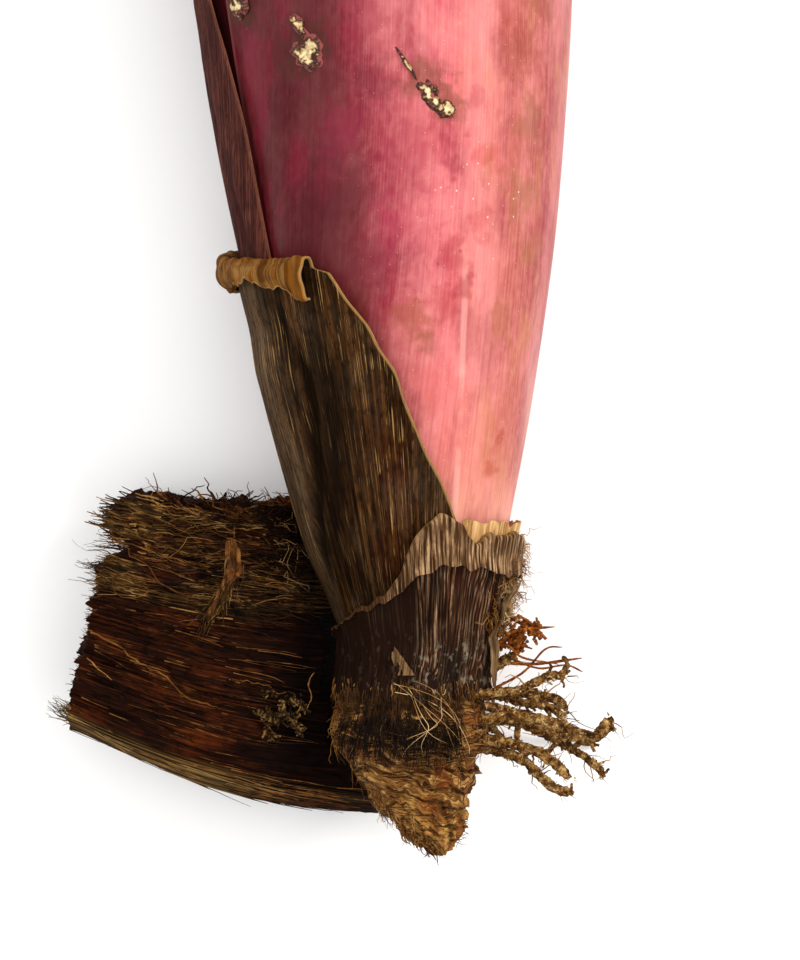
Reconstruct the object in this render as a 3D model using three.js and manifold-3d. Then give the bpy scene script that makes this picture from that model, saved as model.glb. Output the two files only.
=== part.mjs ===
// A bare-root tubular bromeliad, lying on its side with the piece of coconut husk that its roots
// still grip. Millimetres, +Z up, +Y from the root end towards the leaf tips. The leaves are nested
// sheets: each live leaf lies one step inside the leaf before it, and each dry one a step outside.
import * as THREE from "three";
import { mergeVertices } from "three/addons/utils/BufferGeometryUtils.js";
import Module from "manifold-3d";

const wasm = await Module();
wasm.setup();
const { degToRad: rad, lerp: mix, smoothstep } = THREE.MathUtils;

// ---------- driving dimensions ----------
// The tube of leaf sheaths.
const NECK_Y = 40; // where the oldest live leaf joins the stem
const NECK_R = 11.3;
const BELLY_Y = 195; // where the tube is widest
const BELLY_R = 35.5;
const SWELL = 0.84; // below 1, the tube widens early
const MOUTH_NARROWING = 2.5;
const MOUTH_Y = 260;
// The tube's axis: its height, its place at y = 0, its lean to the left for each millimetre of
// length, and how far it bows to the right halfway to the belly.
const AXIS_HEIGHT = 33.5;
const AXIS_X = 4.7;
const LEAN = -0.05;
const BOW = 0.5;
// Leaves.
const LEAF_THICKNESS = 1.3;
const LEAF_GAP = 0.6;
const LEAF_STEP_Y = 6; // each younger leaf joins the stem this much further up
const BLADE_THICKNESS = 0.9;
const DRY_THICKNESS = 0.5;
const DRY_GAP = 0.4;
// The floor that the leaves press flat on.
const FLOOR_CLEARANCE = 0.05;
const PRESS_SOFTNESS = 1.0;
const LOWEST_LAYER = 1; // the live layer that lies undermost
// The stem's foot.
const FOOT_R = 14.2;
const FOOT_Y = 23;
const TIP_R = 1.6;
const APEX_RISE = 9; // the growing tip stands this far above the youngest leaf's base
const TOUCH_GAP = 0.3; // between pieces that touch
// The husk.
const HUSK_DEPTH = 38; // from its sawn back to its torn front
const HUSK_FRAY_DROP = 6; // its frayed side is this much lower than its front
const HUSK_INNER_DROP = 11; // its front falls away this much towards the plant
const HUSK_SKIN_BULGE = 3.5; // how far its outer skin is rounded
const CRADLE_GAP = 0.6; // between the husk and the plant lying in it
// Roots.
const ROOT_SIDES = 7;
const FIBRE_SIDES = 5;

const LEAF_PITCH = LEAF_THICKNESS + LEAF_GAP;
const DRY_PITCH = DRY_THICKNESS + DRY_GAP;

const evenly = (n) => Array.from({ length: n + 1 }, (_, i) => i / n);

// ---------- closed meshes ----------
function closedMesh(points, faces) {
  const position = new Float32Array(points.flatMap((p) => [p.x, p.y, p.z]));
  const volume = faces.reduce((sum, [a, b, c]) => {
    const across = new THREE.Vector3().crossVectors(points[b], points[c]);
    return sum + points[a].dot(across);
  }, 0);
  const outward = volume < 0 ? faces.map(([a, b, c]) => [a, c, b]) : faces;
  const geometry = new THREE.BufferGeometry();
  geometry.setAttribute("position", new THREE.BufferAttribute(position, 3));
  geometry.setIndex(outward.flat());
  geometry.computeVertexNormals();
  return geometry;
}

// A solid through rings of points that all have the same length, closed by a fan at each end.
function loft(rings) {
  const n = rings[0].length;
  const points = rings.flat();
  const faces = [];
  for (let i = 0; i + 1 < rings.length; i++)
    for (let j = 0; j < n; j++) {
      const [a, b] = [i * n + j, i * n + ((j + 1) % n)];
      faces.push([a, b, b + n], [a, b + n, a + n]);
    }
  const last = (rings.length - 1) * n;
  for (const [start, ring, turned] of [[0, rings[0], true], [last, rings.at(-1), false]]) {
    const centre = points.length;
    points.push(ring.reduce((s, p) => s.add(p), new THREE.Vector3()).divideScalar(n));
    for (let j = 0; j < n; j++) {
      const [a, b] = [start + j, start + ((j + 1) % n)];
      faces.push(turned ? [centre, b, a] : [centre, a, b]);
    }
  }
  return closedMesh(points, faces);
}

// A shell round a sheet, given as rows of points along it. thickness(row share, column share) is its wall.
function shell(rows, thickness) {
  const [r, c] = [rows.length, rows[0].length];
  const at = (i, j) => rows[Math.min(Math.max(i, 0), r - 1)][Math.min(Math.max(j, 0), c - 1)];
  const faces = [];
  const front = [];
  const back = [];
  for (let i = 0; i < r; i++)
    for (let j = 0; j < c; j++) {
      const along = at(i + 1, j).clone().sub(at(i - 1, j));
      const over = at(i, j + 1).clone().sub(at(i, j - 1));
      const half = thickness(i / (r - 1), j / (c - 1)) / 2;
      const step = along.cross(over).normalize().multiplyScalar(half);
      front.push(at(i, j).clone().add(step));
      back.push(at(i, j).clone().sub(step));
    }
  const f = (i, j) => i * c + j;
  const b = (i, j) => r * c + i * c + j;
  const quad = (p, q, s, t) => faces.push([p, q, s], [p, s, t]);
  for (let i = 0; i + 1 < r; i++) {
    for (let j = 0; j + 1 < c; j++) {
      quad(f(i, j), f(i + 1, j), f(i + 1, j + 1), f(i, j + 1));
      quad(b(i, j), b(i, j + 1), b(i + 1, j + 1), b(i + 1, j));
    }
    quad(f(i, 0), b(i, 0), b(i + 1, 0), f(i + 1, 0));
    quad(f(i, c - 1), f(i + 1, c - 1), b(i + 1, c - 1), b(i, c - 1));
  }
  for (let j = 0; j + 1 < c; j++) {
    quad(f(0, j), f(0, j + 1), b(0, j + 1), b(0, j));
    quad(f(r - 1, j), b(r - 1, j), b(r - 1, j + 1), f(r - 1, j + 1));
  }
  return closedMesh([...front, ...back], faces);
}

// A round tube along a curve, with its radius at each share of the way from radiusAt.
function tube(curve, radiusAt, sides, steps) {
  const frames = curve.computeFrenetFrames(steps, false);
  const rings = [];
  for (let i = 0; i <= steps; i++) {
    const centre = curve.getPointAt(i / steps);
    rings.push(Array.from({ length: sides }, (_, j) => {
      const turn = (2 * Math.PI * j) / sides;
      return centre.clone()
        .addScaledVector(frames.normals[i], radiusAt(i / steps) * Math.cos(turn))
        .addScaledVector(frames.binormals[i], radiusAt(i / steps) * Math.sin(turn));
    }));
  }
  return loft(rings);
}

function solidOf(geometry) {
  const bare = geometry.clone().deleteAttribute("normal");
  const merged = mergeVertices(bare);
  const mesh = { numProp: 3, vertProperties: merged.attributes.position.array };
  return new wasm.Manifold(new wasm.Mesh({ ...mesh, triVerts: new Uint32Array(merged.index.array) }));
}

function geometryOf(solid) {
  const { vertProperties, triVerts, numProp } = solid.getMesh();
  const points = [];
  for (let i = 0; i < vertProperties.length; i += numProp)
    points.push(new THREE.Vector3(...vertProperties.slice(i, i + 3)));
  const faces = [];
  for (let i = 0; i < triVerts.length; i += 3) faces.push([...triVerts.slice(i, i + 3)]);
  return closedMesh(points, faces);
}

// ---------- the plant's own frame ----------
function place(x, y, z) {
  const bow = BOW * Math.sin(Math.PI * Math.min(Math.max(y / BELLY_Y, 0), 1));
  return new THREE.Vector3(x + AXIS_X + LEAN * y + bow, y, z + AXIS_HEIGHT);
}

const pressed = (z, floor) => floor + PRESS_SOFTNESS * Math.log1p(Math.exp((z - floor) / PRESS_SOFTNESS));

// The outer radius of the live leaves at a height y along the axis.
function tubeRadius(y) {
  const share = Math.min(Math.max((y - NECK_Y) / (BELLY_Y - NECK_Y), 0), 1);
  const swell = Math.sin((Math.PI / 2) * share) ** SWELL;
  return mix(NECK_R, BELLY_R, swell) - MOUTH_NARROWING * smoothstep(y, BELLY_Y, MOUTH_Y);
}

// The middle of a sheet's wall: live layers count inwards from 0, dry ones outwards from 1.
const liveRadius = (layer, y) => tubeRadius(y) - LEAF_THICKNESS / 2 - layer * LEAF_PITCH;
const dryRadius = (layer, y) => tubeRadius(y) + DRY_GAP + DRY_THICKNESS / 2 + (layer - 1) * DRY_PITCH;

// ---------- live leaves ----------
// theta: the side of the tube that the midrib is on, with 0 to the right and 90 on top.
// span: half the angle that the sheath wraps. depart: where the blade leaves the tube.
// bend and heading: how far the blade turns from the axis, and towards which side.
const LEAVES = [
  { theta: 45, span: 102, depart: 196, blade: 150, half: 27, bend: 88, heading: 52 },
  { theta: 200, span: 95, depart: 200, blade: 152, half: 26, bend: 62, heading: 181 },
  { theta: 322, span: 95, depart: 206, blade: 148, half: 26, bend: 56, heading: 357 },
  { theta: 95, span: 92, depart: 222, blade: 140, half: 25, bend: 74, heading: 98 },
  { theta: 238, span: 90, depart: 226, blade: 138, half: 24, bend: 30, heading: 192 },
  { theta: 15, span: 88, depart: 236, blade: 132, half: 23, bend: 58, heading: 18 },
  { theta: 150, span: 86, depart: 242, blade: 126, half: 22, bend: 52, heading: 150 },
  { theta: 290, span: 84, depart: 248, blade: 118, half: 20, bend: 22, heading: 330 },
];
const CLASP = 128; // half the angle that a leaf's foot wraps round the stem
const SHEATH_ROWS = [46, 52, 58, 66, 76, 90, 108, 128, 148, 168];
const OPENING_Y = 168; // above this a sheath wraps less and less, until its blade departs
const OPENING_STEPS = 4;
const DEPART_SPAN = 58; // half the angle of the sheath where the blade leaves it
const BLADE_CURVE_R = 48; // the blade's channel is shallower than the sheath's
const BLADE_STEPS = 8;
const LEAF_COLUMNS = 12;
const TIP_HALF_WIDTH = 0.8;

function sheathSpan(leaf, y, base) {
  const opened = mix(CLASP, leaf.span, smoothstep(y, base, base + 20));
  return mix(opened, DEPART_SPAN, smoothstep(y, OPENING_Y, leaf.depart));
}

// One row across a leaf: an arc of half-width w and radius r, standing on the midrib at m.
function arcRow(m, out, side, r, w) {
  return Array.from({ length: LEAF_COLUMNS + 1 }, (_, j) => {
    const turn = ((2 * j) / LEAF_COLUMNS - 1) * (w / r);
    return m.clone().addScaledVector(out, r * (Math.cos(turn) - 1)).addScaledVector(side, r * Math.sin(turn));
  });
}

function leafRows(leaf, layer) {
  const base = NECK_Y + layer * LEAF_STEP_Y;
  const facing = new THREE.Vector3(Math.cos(rad(leaf.theta)), 0, Math.sin(rad(leaf.theta)));
  const along = new THREE.Vector3(0, 1, 0);
  const opening = evenly(OPENING_STEPS).slice(1).map((t) => mix(OPENING_Y, leaf.depart, t));
  const rows = [];
  for (const y of [base, ...SHEATH_ROWS.filter((row) => row > base + 2), ...opening]) {
    const r = liveRadius(layer, y);
    const side = along.clone().cross(facing).negate();
    const midrib = facing.clone().multiplyScalar(r).setY(y);
    rows.push(arcRow(midrib, facing, side, r, r * rad(sheathSpan(leaf, y, base))));
  }
  const heading = new THREE.Vector3(Math.cos(rad(leaf.heading)), 0, Math.sin(rad(leaf.heading)));
  const hinge = along.clone().cross(heading);
  const r0 = liveRadius(layer, leaf.depart);
  const w0 = r0 * rad(DEPART_SPAN);
  const midrib = facing.clone().multiplyScalar(r0).setY(leaf.depart);
  for (let i = 1; i <= BLADE_STEPS; i++) {
    const t = i / BLADE_STEPS;
    const turnAt = (s) => rad(leaf.bend) * s ** 1.5;
    const mid = turnAt((i - 0.5) / BLADE_STEPS);
    midrib.addScaledVector(along.clone().applyAxisAngle(hinge, mid), leaf.blade / BLADE_STEPS);
    const out = facing.clone().applyAxisAngle(hinge, turnAt(t));
    const side = along.clone().applyAxisAngle(hinge, turnAt(t)).cross(out).negate();
    const taper = (1 - t ** 2.4) ** 0.75;
    const w = Math.max(mix(w0, leaf.half, smoothstep(t, 0, 0.35)) * taper, TIP_HALF_WIDTH);
    rows.push(arcRow(midrib.clone(), out, side, mix(r0, BLADE_CURVE_R, smoothstep(t, 0, 0.6)), w));
  }
  const floor = FLOOR_CLEARANCE + LEAF_THICKNESS / 2 + Math.max(layer - LOWEST_LAYER, 0) * LEAF_PITCH;
  return rows.map((row) => row.map((p) => {
    const placed = place(p.x, p.y, p.z);
    return placed.setZ(pressed(placed.z, floor));
  }));
}

function leafGeometry(leaf, layer) {
  const sheathShare = (leaf.depart - NECK_Y) / (leaf.depart - NECK_Y + leaf.blade);
  return shell(leafRows(leaf, layer), (i, j) => {
    const margin = Math.abs(2 * j - 1);
    return mix(LEAF_THICKNESS, BLADE_THICKNESS, smoothstep(i, sheathShare, 1)) * (1 - 0.55 * margin ** 3);
  });
}

// ---------- dry leaves and sheaths ----------
// A value read off a short list of [where, value] pairs, smoothly between them.
function along(pairs, x) {
  const k = Math.max(1, pairs.findIndex(([at]) => at >= x));
  const [[x0, v0], [x1, v1]] = x >= pairs.at(-1)[0] ? pairs.slice(-2) : [pairs[k - 1], pairs[k]];
  return mix(v0, v1, smoothstep(x, x0, x1));
}

const around = (r, degrees, y) => place(r * Math.cos(rad(degrees)), y, r * Math.sin(rad(degrees)));

// The same, about the middle of the stem, which wanders from the tube's axis.
function aroundStem(r, degrees, y) {
  const p = around(r, degrees, y);
  return p.setX(p.x + along(STEM_SHIFT, Math.min(Math.max(y, 0), NECK_Y)));
}

// The last dry leaf still standing, on the tube's left side, with its withered blade.
const OUTER_LEAF = { base: 42, depart: 214, top: 262, from: 158, to: 226, wither: 20 };
function outerLeafGeometry() {
  const { base, depart, top, from, to, wither } = OUTER_LEAF;
  const middle = (from + to) / 2;
  const rows = evenly(14).map((t) => {
    const y = mix(base, top, t);
    const withered = smoothstep(y, depart - 30, top);
    const half = ((to - from) / 2) * (1 - 0.8 * withered);
    const r = dryRadius(1, y) + wither * withered ** 2;
    return evenly(6).map((u) => around(r, middle + half * (2 * u - 1), y));
  });
  return shell(rows, () => DRY_THICKNESS);
}

// The big brown sheath over the lower left. Its torn top rolls outwards.
const BIG_SHEATH = { base: NECK_Y, top: 106.5, back: 206 };
const BIG_SHEATH_EDGE = [[40, 42], [50, 47], [61, 59], [75, 80], [86, 92], [97, 102], [106.5, 111]];
const ROLL = { out: 2.4, up: 3.5, turn: 285, steps: 6, edge: 7, slant: 3.4 };
function bigSheathGeometry() {
  const { base, top, back } = BIG_SHEATH;
  const rowAt = (y, edge, out, up) => evenly(14).map((u) => {
    const slanted = y - ROLL.slant * (1 - u) * smoothstep(y, 80, top) + up;
    return around(dryRadius(2, y) + out, mix(edge, back, u), slanted);
  });
  const rows = evenly(8).map((t) => {
    const y = mix(base, top, t);
    return rowAt(y, along(BIG_SHEATH_EDGE, y), 0, 0);
  });
  const rollEdge = along(BIG_SHEATH_EDGE, top) + ROLL.edge;
  for (let i = 1; i <= ROLL.steps; i++) {
    const turn = rad((ROLL.turn * i) / ROLL.steps);
    rows.push(rowAt(top, rollEdge, ROLL.out * (1 - Math.cos(turn)), ROLL.up * Math.sin(turn)));
  }
  return shell(rows, () => DRY_THICKNESS);
}

// The oldest sheath, round the stem's neck. Its torn top is folded down over itself as a collar.
const BASAL_SHEATH = { base: 30, from: -42, to: 216 };
const BASAL_TOP = [
  [-42, 42], [-10, 49], [10, 53], [25, 56], [43, 56], [60, 60], [74, 60.3], [84, 58], [94, 53.5],
  [110, 47.3], [127, 45], [150, 42], [216, 39],
];
const COLLAR_DROP = [[-42, 0.6], [30, 0.8], [43, 3], [52, 6.5], [72, 8], [84, 7.5], [94, 5], [112, 1.2], [216, 0.6]];
const COLLAR_R = [0.35, 0.6]; // the fold is tighter where the collar is narrow
function basalRadius(y) {
  return Math.max(dryRadius(3, y), stemRadius(y) + TOUCH_GAP + DRY_THICKNESS);
}
function basalSheathGeometry() {
  const { base, from, to } = BASAL_SHEATH;
  const columns = evenly(20).map((u) => mix(from, to, u));
  const rows = evenly(6).map((t) => columns.map((degrees) => {
    const y = mix(base, along(BASAL_TOP, degrees), t);
    return aroundStem(basalRadius(y), degrees, y);
  }));
  for (const [out, up, share] of [[1, 1, 0], [2, 0, 0], [2.2, 0, 0.5], [2.8, 0, 1]])
    rows.push(columns.map((degrees) => {
      const drop = along(COLLAR_DROP, degrees);
      const fold = mix(COLLAR_R[0], COLLAR_R[1], smoothstep(drop, 0, 6));
      const y = along(BASAL_TOP, degrees) + fold * up - drop * share;
      return aroundStem(basalRadius(y) + fold * out, degrees, y);
    }));
  return shell(rows, () => DRY_THICKNESS);
}

// A torn scrap that stands off the tube: a narrow leaf of dry skin between two heights on one side.
function scrapGeometry({ degrees, from, to, half, taper, lift, layer }) {
  const rows = evenly(4).map((t) => {
    const y = mix(from, to, t);
    const width = half * mix(1, Math.sin(Math.PI * mix(0.18, 0.95, t)), taper);
    return evenly(4).map((u) =>
      around(dryRadius(layer, y) + lift * t ** 2, degrees + width * (2 * u - 1), y));
  });
  return shell(rows, () => DRY_THICKNESS);
}
const SCRAPS = {
  papery_rim: { degrees: 1, from: 42, to: 60.5, half: 39, taper: 0.1, lift: 0.1, layer: 2 },
  side_strip: { degrees: 30, from: 31, to: 46, half: 9, taper: 1, lift: 1.2, layer: 4.2 },
  front_scrap: { degrees: 102, from: 33, to: 37.5, half: 9, taper: 1, lift: 2, layer: 4.2 },
};

// ---------- the stem ----------
// Its middle wanders from the axis by STEM_SHIFT; its foot narrows to a broken tip.
const STEM_SHIFT = [[0, 2.5], [5, 1.3], [10, -1], [21, -2.1], [30, -1.3], [40, 0]];
const STEM_FOOT = [[0, TIP_R], [5, 5.5], [10, 8.4], [16, 11.2], [21, 14], [FOOT_Y, FOOT_R]];
const YOUNGEST_Y = NECK_Y + (LEAVES.length - 1) * LEAF_STEP_Y;

function stemRadius(y) {
  if (y <= FOOT_Y) return along(STEM_FOOT, y);
  const layers = (Math.max(y, NECK_Y) - NECK_Y) / LEAF_STEP_Y + 1;
  const inLeaves = tubeRadius(y) - layers * LEAF_PITCH + LEAF_GAP - TOUCH_GAP;
  if (y < NECK_Y) return mix(FOOT_R, inLeaves, smoothstep(y, FOOT_Y, NECK_Y));
  const apex = (y - YOUNGEST_Y) / APEX_RISE;
  return apex > 0 ? stemRadius(YOUNGEST_Y) * Math.sqrt(Math.max(1 - apex ** 2, 0.01)) : inLeaves;
}

function stemGeometry(growth, sides = 15) {
  const heights = [0, 2.5, 5, 10, 16, 21, 24, 28, 32, 36, 40, 52, 64, 76, YOUNGEST_Y];
  const tops = [0.5, 0.85, 1].map((share) => YOUNGEST_Y + APEX_RISE * share);
  const rings = [...heights, ...tops].map((y) => evenly(sides).slice(1).map((t) => {
    const lump = y < 34 ? 1 + 0.035 * Math.sin(5 * 2 * Math.PI * t + y) : 1;
    const r = stemRadius(y) * lump + growth;
    const end = y === 0 ? -growth : 0;
    return aroundStem(r, 360 * t, y + end);
  }));
  return loft(rings);
}
const stem = stemGeometry(0);
const stemRoom = solidOf(stemGeometry(TOUCH_GAP));

// ---------- roots ----------
// Each root is a list of points from inside the stem's foot outwards, and its radius at the stem and tip.
const ROOTS = {
  root_1: { r: [1.3, 0.9], to: [[9, 30, 33], [16, 33.3, 34], [18.5, 35, 33], [20.5, 36, 31]] },
  root_2: { r: [1.1, 0.8], to: [[8, 29, 40], [15, 29.8, 41], [21, 30.4, 42], [26.3, 33, 43], [29.2, 33, 44]] },
  root_3: { r: [1.2, 1.1], to: [[8, 29, 35], [15, 29.3, 36], [20, 29.7, 37], [27.5, 28.6, 37], [30, 26.8, 38]] },
  root_4: { r: [1.1, 0.8], to: [[8, 28, 29], [17, 28.6, 29], [22, 27.5, 30], [27.7, 26.4, 31], [29.6, 24.4, 31]] },
  root_5: {
    r: [1.25, 1.2],
    to: [[6, 25, 38], [15, 25, 39], [21, 25.7, 39], [28, 24.2, 39], [34.5, 22, 40], [38, 25.4, 41]],
  },
  root_6: {
    r: [1.1, 0.9],
    to: [[6, 24, 33], [15, 24.2, 33.5], [21.4, 24, 34.5], [29.5, 20.2, 34.5], [34.5, 17, 34], [37.1, 14.2, 33]],
  },
  root_7: { r: [1.2, 1.2], to: [[6, 21.5, 36], [15, 21.3, 37], [22.5, 19.8, 38], [27, 17.6, 38], [30.4, 14.4, 38]] },
  root_8: {
    r: [1.3, 1.0],
    to: [[6, 20, 32], [14, 19.4, 32], [21.5, 17.6, 32], [25.5, 14, 31], [28.4, 11.8, 31], [31.4, 11, 31]],
  },
  root_9: { r: [1.2, 0.7], to: [[6, 25, 26], [14, 26, 20], [22, 24, 11], [29, 20, 4], [38, 17, 1.2]] },
  holdfast_1: { r: [1.3, 0.9], to: [[0, 25, 28], [-6, 25, 18], [-13, 25.5, 13], [-24, 28, 11], [-34, 31, 12]] },
  holdfast_2: { r: [1.2, 0.8], to: [[0, 20, 27], [-3, 19, 17], [-9, 19, 11], [-20, 20, 8], [-31, 22, 9]] },
  holdfast_3: { r: [1.3, 0.9], to: [[4, 27, 27], [2, 29, 16], [-5, 32, 9], [-16, 36, 7], [-28, 39, 8]] },
  holdfast_4: { r: [1.1, 0.7], to: [[5, 18, 28], [7, 15, 16], [3, 13, 9], [-7, 14.5, 7], [-18, 18, 8]] },
};
const FIBRES = {
  fibre_1: { r: [0.45, 0.25], to: [[9, 36, 36], [15.8, 37.3, 37], [20.5, 40.7, 38], [27.7, 41.6, 39]] },
  fibre_2: { r: [0.4, 0.25], to: [[9, 34, 32], [16, 34.8, 32], [24.5, 34.4, 30], [33.1, 35.4, 29]] },
  fibre_3: { r: [0.5, 0.3], to: [[10, 44, 27], [18.8, 43.4, 26], [21, 42.2, 26], [23.4, 41, 27]] },
};
// What the roots leave from: the stem's foot, and higher up the sheaths round the neck.
function neckRoom() {
  const { base } = BASAL_SHEATH;
  const room = (y) => {
    const collar = y < NECK_Y ? 0 : 2.8 * COLLAR_R[0];
    return basalRadius(y) + DRY_THICKNESS / 2 + collar + 2 * TOUCH_GAP;
  };
  const rings = [base - TOUCH_GAP, base, 34, NECK_Y, 46, 52, 62].map((y) => evenly(32).slice(1).map((t) =>
    aroundStem(room(y), 360 * t, y)));
  return solidOf(loft(rings));
}
const plantRoom = stemRoom.add(neckRoom());

function rootGeometry({ r, to }, sides) {
  const curve = new THREE.CatmullRomCurve3(to.map((p) => new THREE.Vector3(...p)));
  const whole = solidOf(tube(curve, (t) => mix(r[0], r[1], t), sides, 9));
  return geometryOf(whole.subtract(plantRoom));
}

// Room round a root, for the husk that it has grown into.
function rootRoom({ r, to }) {
  const curve = new THREE.CatmullRomCurve3(to.map((p) => new THREE.Vector3(...p)));
  return solidOf(tube(curve, (t) => mix(r[0], r[1], t) + TOUCH_GAP + 0.1, ROOT_SIDES, 9));
}

// ---------- the husk ----------
// Its fibres run from its far end (share 0) to the end beside the plant (share 1); its rounded outer
// skin is at the foot of the front (side 0) and its frayed edge at the top (side 1).
const HUSK_CORNERS = { farSkin: [-59.4, 25.6], farFray: [-50.8, 64], nearSkin: [-4, 9.6], nearFray: [-6, 62] };

function huskPoint(share, side, z) {
  const { farSkin, farFray, nearSkin, nearFray } = HUSK_CORNERS;
  const at = (k) => mix(mix(farSkin[k], farFray[k], side), mix(nearSkin[k], nearFray[k], side), share);
  const sag = 3.2 * Math.sin(Math.PI * share) * (1 - side);
  return new THREE.Vector3(at(0), at(1) - sag, z);
}

function huskTop(share, side) {
  const fray = HUSK_FRAY_DROP * smoothstep(side, 0.68, 0.8);
  const inner = HUSK_INNER_DROP * smoothstep(share, 0.5, 1);
  const wave = 0.7 * Math.sin(9 * side + 2) + 0.5 * Math.sin(7 * share + 11 * side);
  return HUSK_DEPTH - fray - inner + wave;
}

function huskGeometry() {
  const rings = evenly(11).map((share) => {
    const front = evenly(9).map((t) => huskPoint(share, 1 - t, huskTop(share, 1 - t)));
    const skin = [0.75, 0.5, 0.25].map((t) => {
      const p = huskPoint(share, 0, huskTop(share, 0) * t);
      return p.setY(p.y - HUSK_SKIN_BULGE * Math.sin(Math.PI * t));
    });
    const sawn = evenly(5).map((t) => huskPoint(share, t, 0));
    const frayed = [0.33, 0.66].map((t) => {
      const p = huskPoint(share, 1, huskTop(share, 1) * t);
      return p.setY(p.y + 1.2 * Math.sin(8 * share + 5 * t));
    });
    return [...front, ...skin, ...sawn, ...frayed];
  });
  const grown = ["holdfast_1", "holdfast_2", "holdfast_3", "holdfast_4"].map((name) => rootRoom(ROOTS[name]));
  return geometryOf(wasm.Manifold.difference([solidOf(loft(rings)), cradle(), ...grown]));
}

// The room that the plant lies in: its widest outline with a gap, from the foot to above the husk.
function cradle() {
  const heights = [-3, 0, 5, 10, 16, 21, 27, 34, 42, 50, 58, 66, 76];
  const rings = heights.map((y) => evenly(24).slice(1).map((t) => {
    const bare = stemRadius(Math.max(y, 0)) + 0.6;
    const r = y < BASAL_SHEATH.base - 3 ? bare : basalRadius(y) + DRY_THICKNESS / 2 + 2.8 * COLLAR_R[1];
    return aroundStem(r + CRADLE_GAP, 360 * t, y);
  }));
  return solidOf(loft(rings));
}

// A strip peeled off the husk's frayed edge, hanging over its front.
const SPLINTER = { top: [-30.5, 55], foot: [-35, 40.5], half: 1.9, wall: 1.1, rise: 2.4 };
function splinterGeometry() {
  const { top, foot, half, wall, rise } = SPLINTER;
  const rows = evenly(5).map((t) => {
    const [x, y] = [mix(top[0], foot[0], t), mix(top[1], foot[1], t)];
    const z = HUSK_DEPTH + 1.4 + rise * Math.sin(Math.PI * t);
    const width = half * (1 - 0.45 * t);
    return evenly(3).map((u) => new THREE.Vector3(x + width * (2 * u - 1), y + 0.3 * width * (2 * u - 1), z));
  });
  return shell(rows, () => wall);
}

// A small cushion of moss where the husk meets the stem's foot.
const MOSS = { x: -23.5, y: 25.5, r: 2.6, height: 2.2 };
function mossGeometry() {
  const geometry = new THREE.IcosahedronGeometry(MOSS.r, 1);
  geometry.deleteAttribute("uv");
  geometry.scale(1.2, 0.9, MOSS.height / MOSS.r / 2);
  return geometry.translate(MOSS.x, MOSS.y, MOSS_SEAT);
}
const MOSS_SEAT = HUSK_DEPTH + 1.6;

// ---------- the assembly ----------
const finish = (color, roughness) => new THREE.MeshStandardMaterial({ color, roughness, metalness: 0 });
const FINISHES = {
  live: finish(0xb5485f, 0.42),
  dry: finish(0x6b4a2c, 0.75),
  stem: finish(0x7a5428, 0.85),
  root: finish(0x6e5a38, 0.85),
  husk: finish(0x4a2412, 0.95),
  moss: finish(0x7b7d4c, 0.95),
};

const plant = new THREE.Group();
function add(name, geometry, material) {
  const mesh = new THREE.Mesh(geometry, material);
  mesh.name = name;
  plant.add(mesh);
}

add("stem", stem, FINISHES.stem);
LEAVES.forEach((leaf, layer) => add(`leaf_${layer + 1}`, leafGeometry(leaf, layer), FINISHES.live));
add("dry_outer_leaf", outerLeafGeometry(), FINISHES.dry);
add("dry_sheath", bigSheathGeometry(), FINISHES.dry);
add("basal_sheath", basalSheathGeometry(), FINISHES.dry);
for (const [name, scrap] of Object.entries(SCRAPS)) add(name, scrapGeometry(scrap), FINISHES.dry);
for (const [name, root] of Object.entries(ROOTS)) add(name, rootGeometry(root, ROOT_SIDES), FINISHES.root);
for (const [name, root] of Object.entries(FIBRES)) add(name, rootGeometry(root, FIBRE_SIDES), FINISHES.root);
add("husk", huskGeometry(), FINISHES.husk);
add("husk_splinter", splinterGeometry(), FINISHES.husk);
add("moss", mossGeometry(), FINISHES.moss);

// The origin is under the middle of the whole, on the surface that it lies on.
const box = new THREE.Box3().setFromObject(plant);
const middle = box.getCenter(new THREE.Vector3());
plant.position.set(-middle.x, -middle.y, -box.min.z);

export default plant;
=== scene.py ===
import math

import bmesh
import bpy
import numpy as np
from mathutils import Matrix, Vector


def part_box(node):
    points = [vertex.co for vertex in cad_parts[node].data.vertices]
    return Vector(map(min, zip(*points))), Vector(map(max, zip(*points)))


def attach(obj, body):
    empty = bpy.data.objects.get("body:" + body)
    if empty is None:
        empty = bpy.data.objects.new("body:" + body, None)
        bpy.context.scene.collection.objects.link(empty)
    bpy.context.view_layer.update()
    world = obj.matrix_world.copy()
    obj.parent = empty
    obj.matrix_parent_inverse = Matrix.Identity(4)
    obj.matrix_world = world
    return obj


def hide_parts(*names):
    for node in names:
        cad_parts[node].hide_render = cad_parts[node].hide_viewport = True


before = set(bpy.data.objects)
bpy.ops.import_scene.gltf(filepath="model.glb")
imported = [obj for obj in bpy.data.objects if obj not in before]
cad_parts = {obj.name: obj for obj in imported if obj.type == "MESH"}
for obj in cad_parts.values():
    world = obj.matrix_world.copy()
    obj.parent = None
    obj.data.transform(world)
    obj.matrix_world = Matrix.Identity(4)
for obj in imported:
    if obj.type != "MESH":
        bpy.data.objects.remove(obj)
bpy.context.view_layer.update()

# A bare-root tubular bromeliad lying on its side, with the coconut husk that its roots still grip.
# Shapes are worked out in millimetres in the plant's own frame, where y runs up the leaf tube from
# the stem's broken tip, and put in the part's frame, in metres, by `placed` and `flat_placed`.

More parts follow.
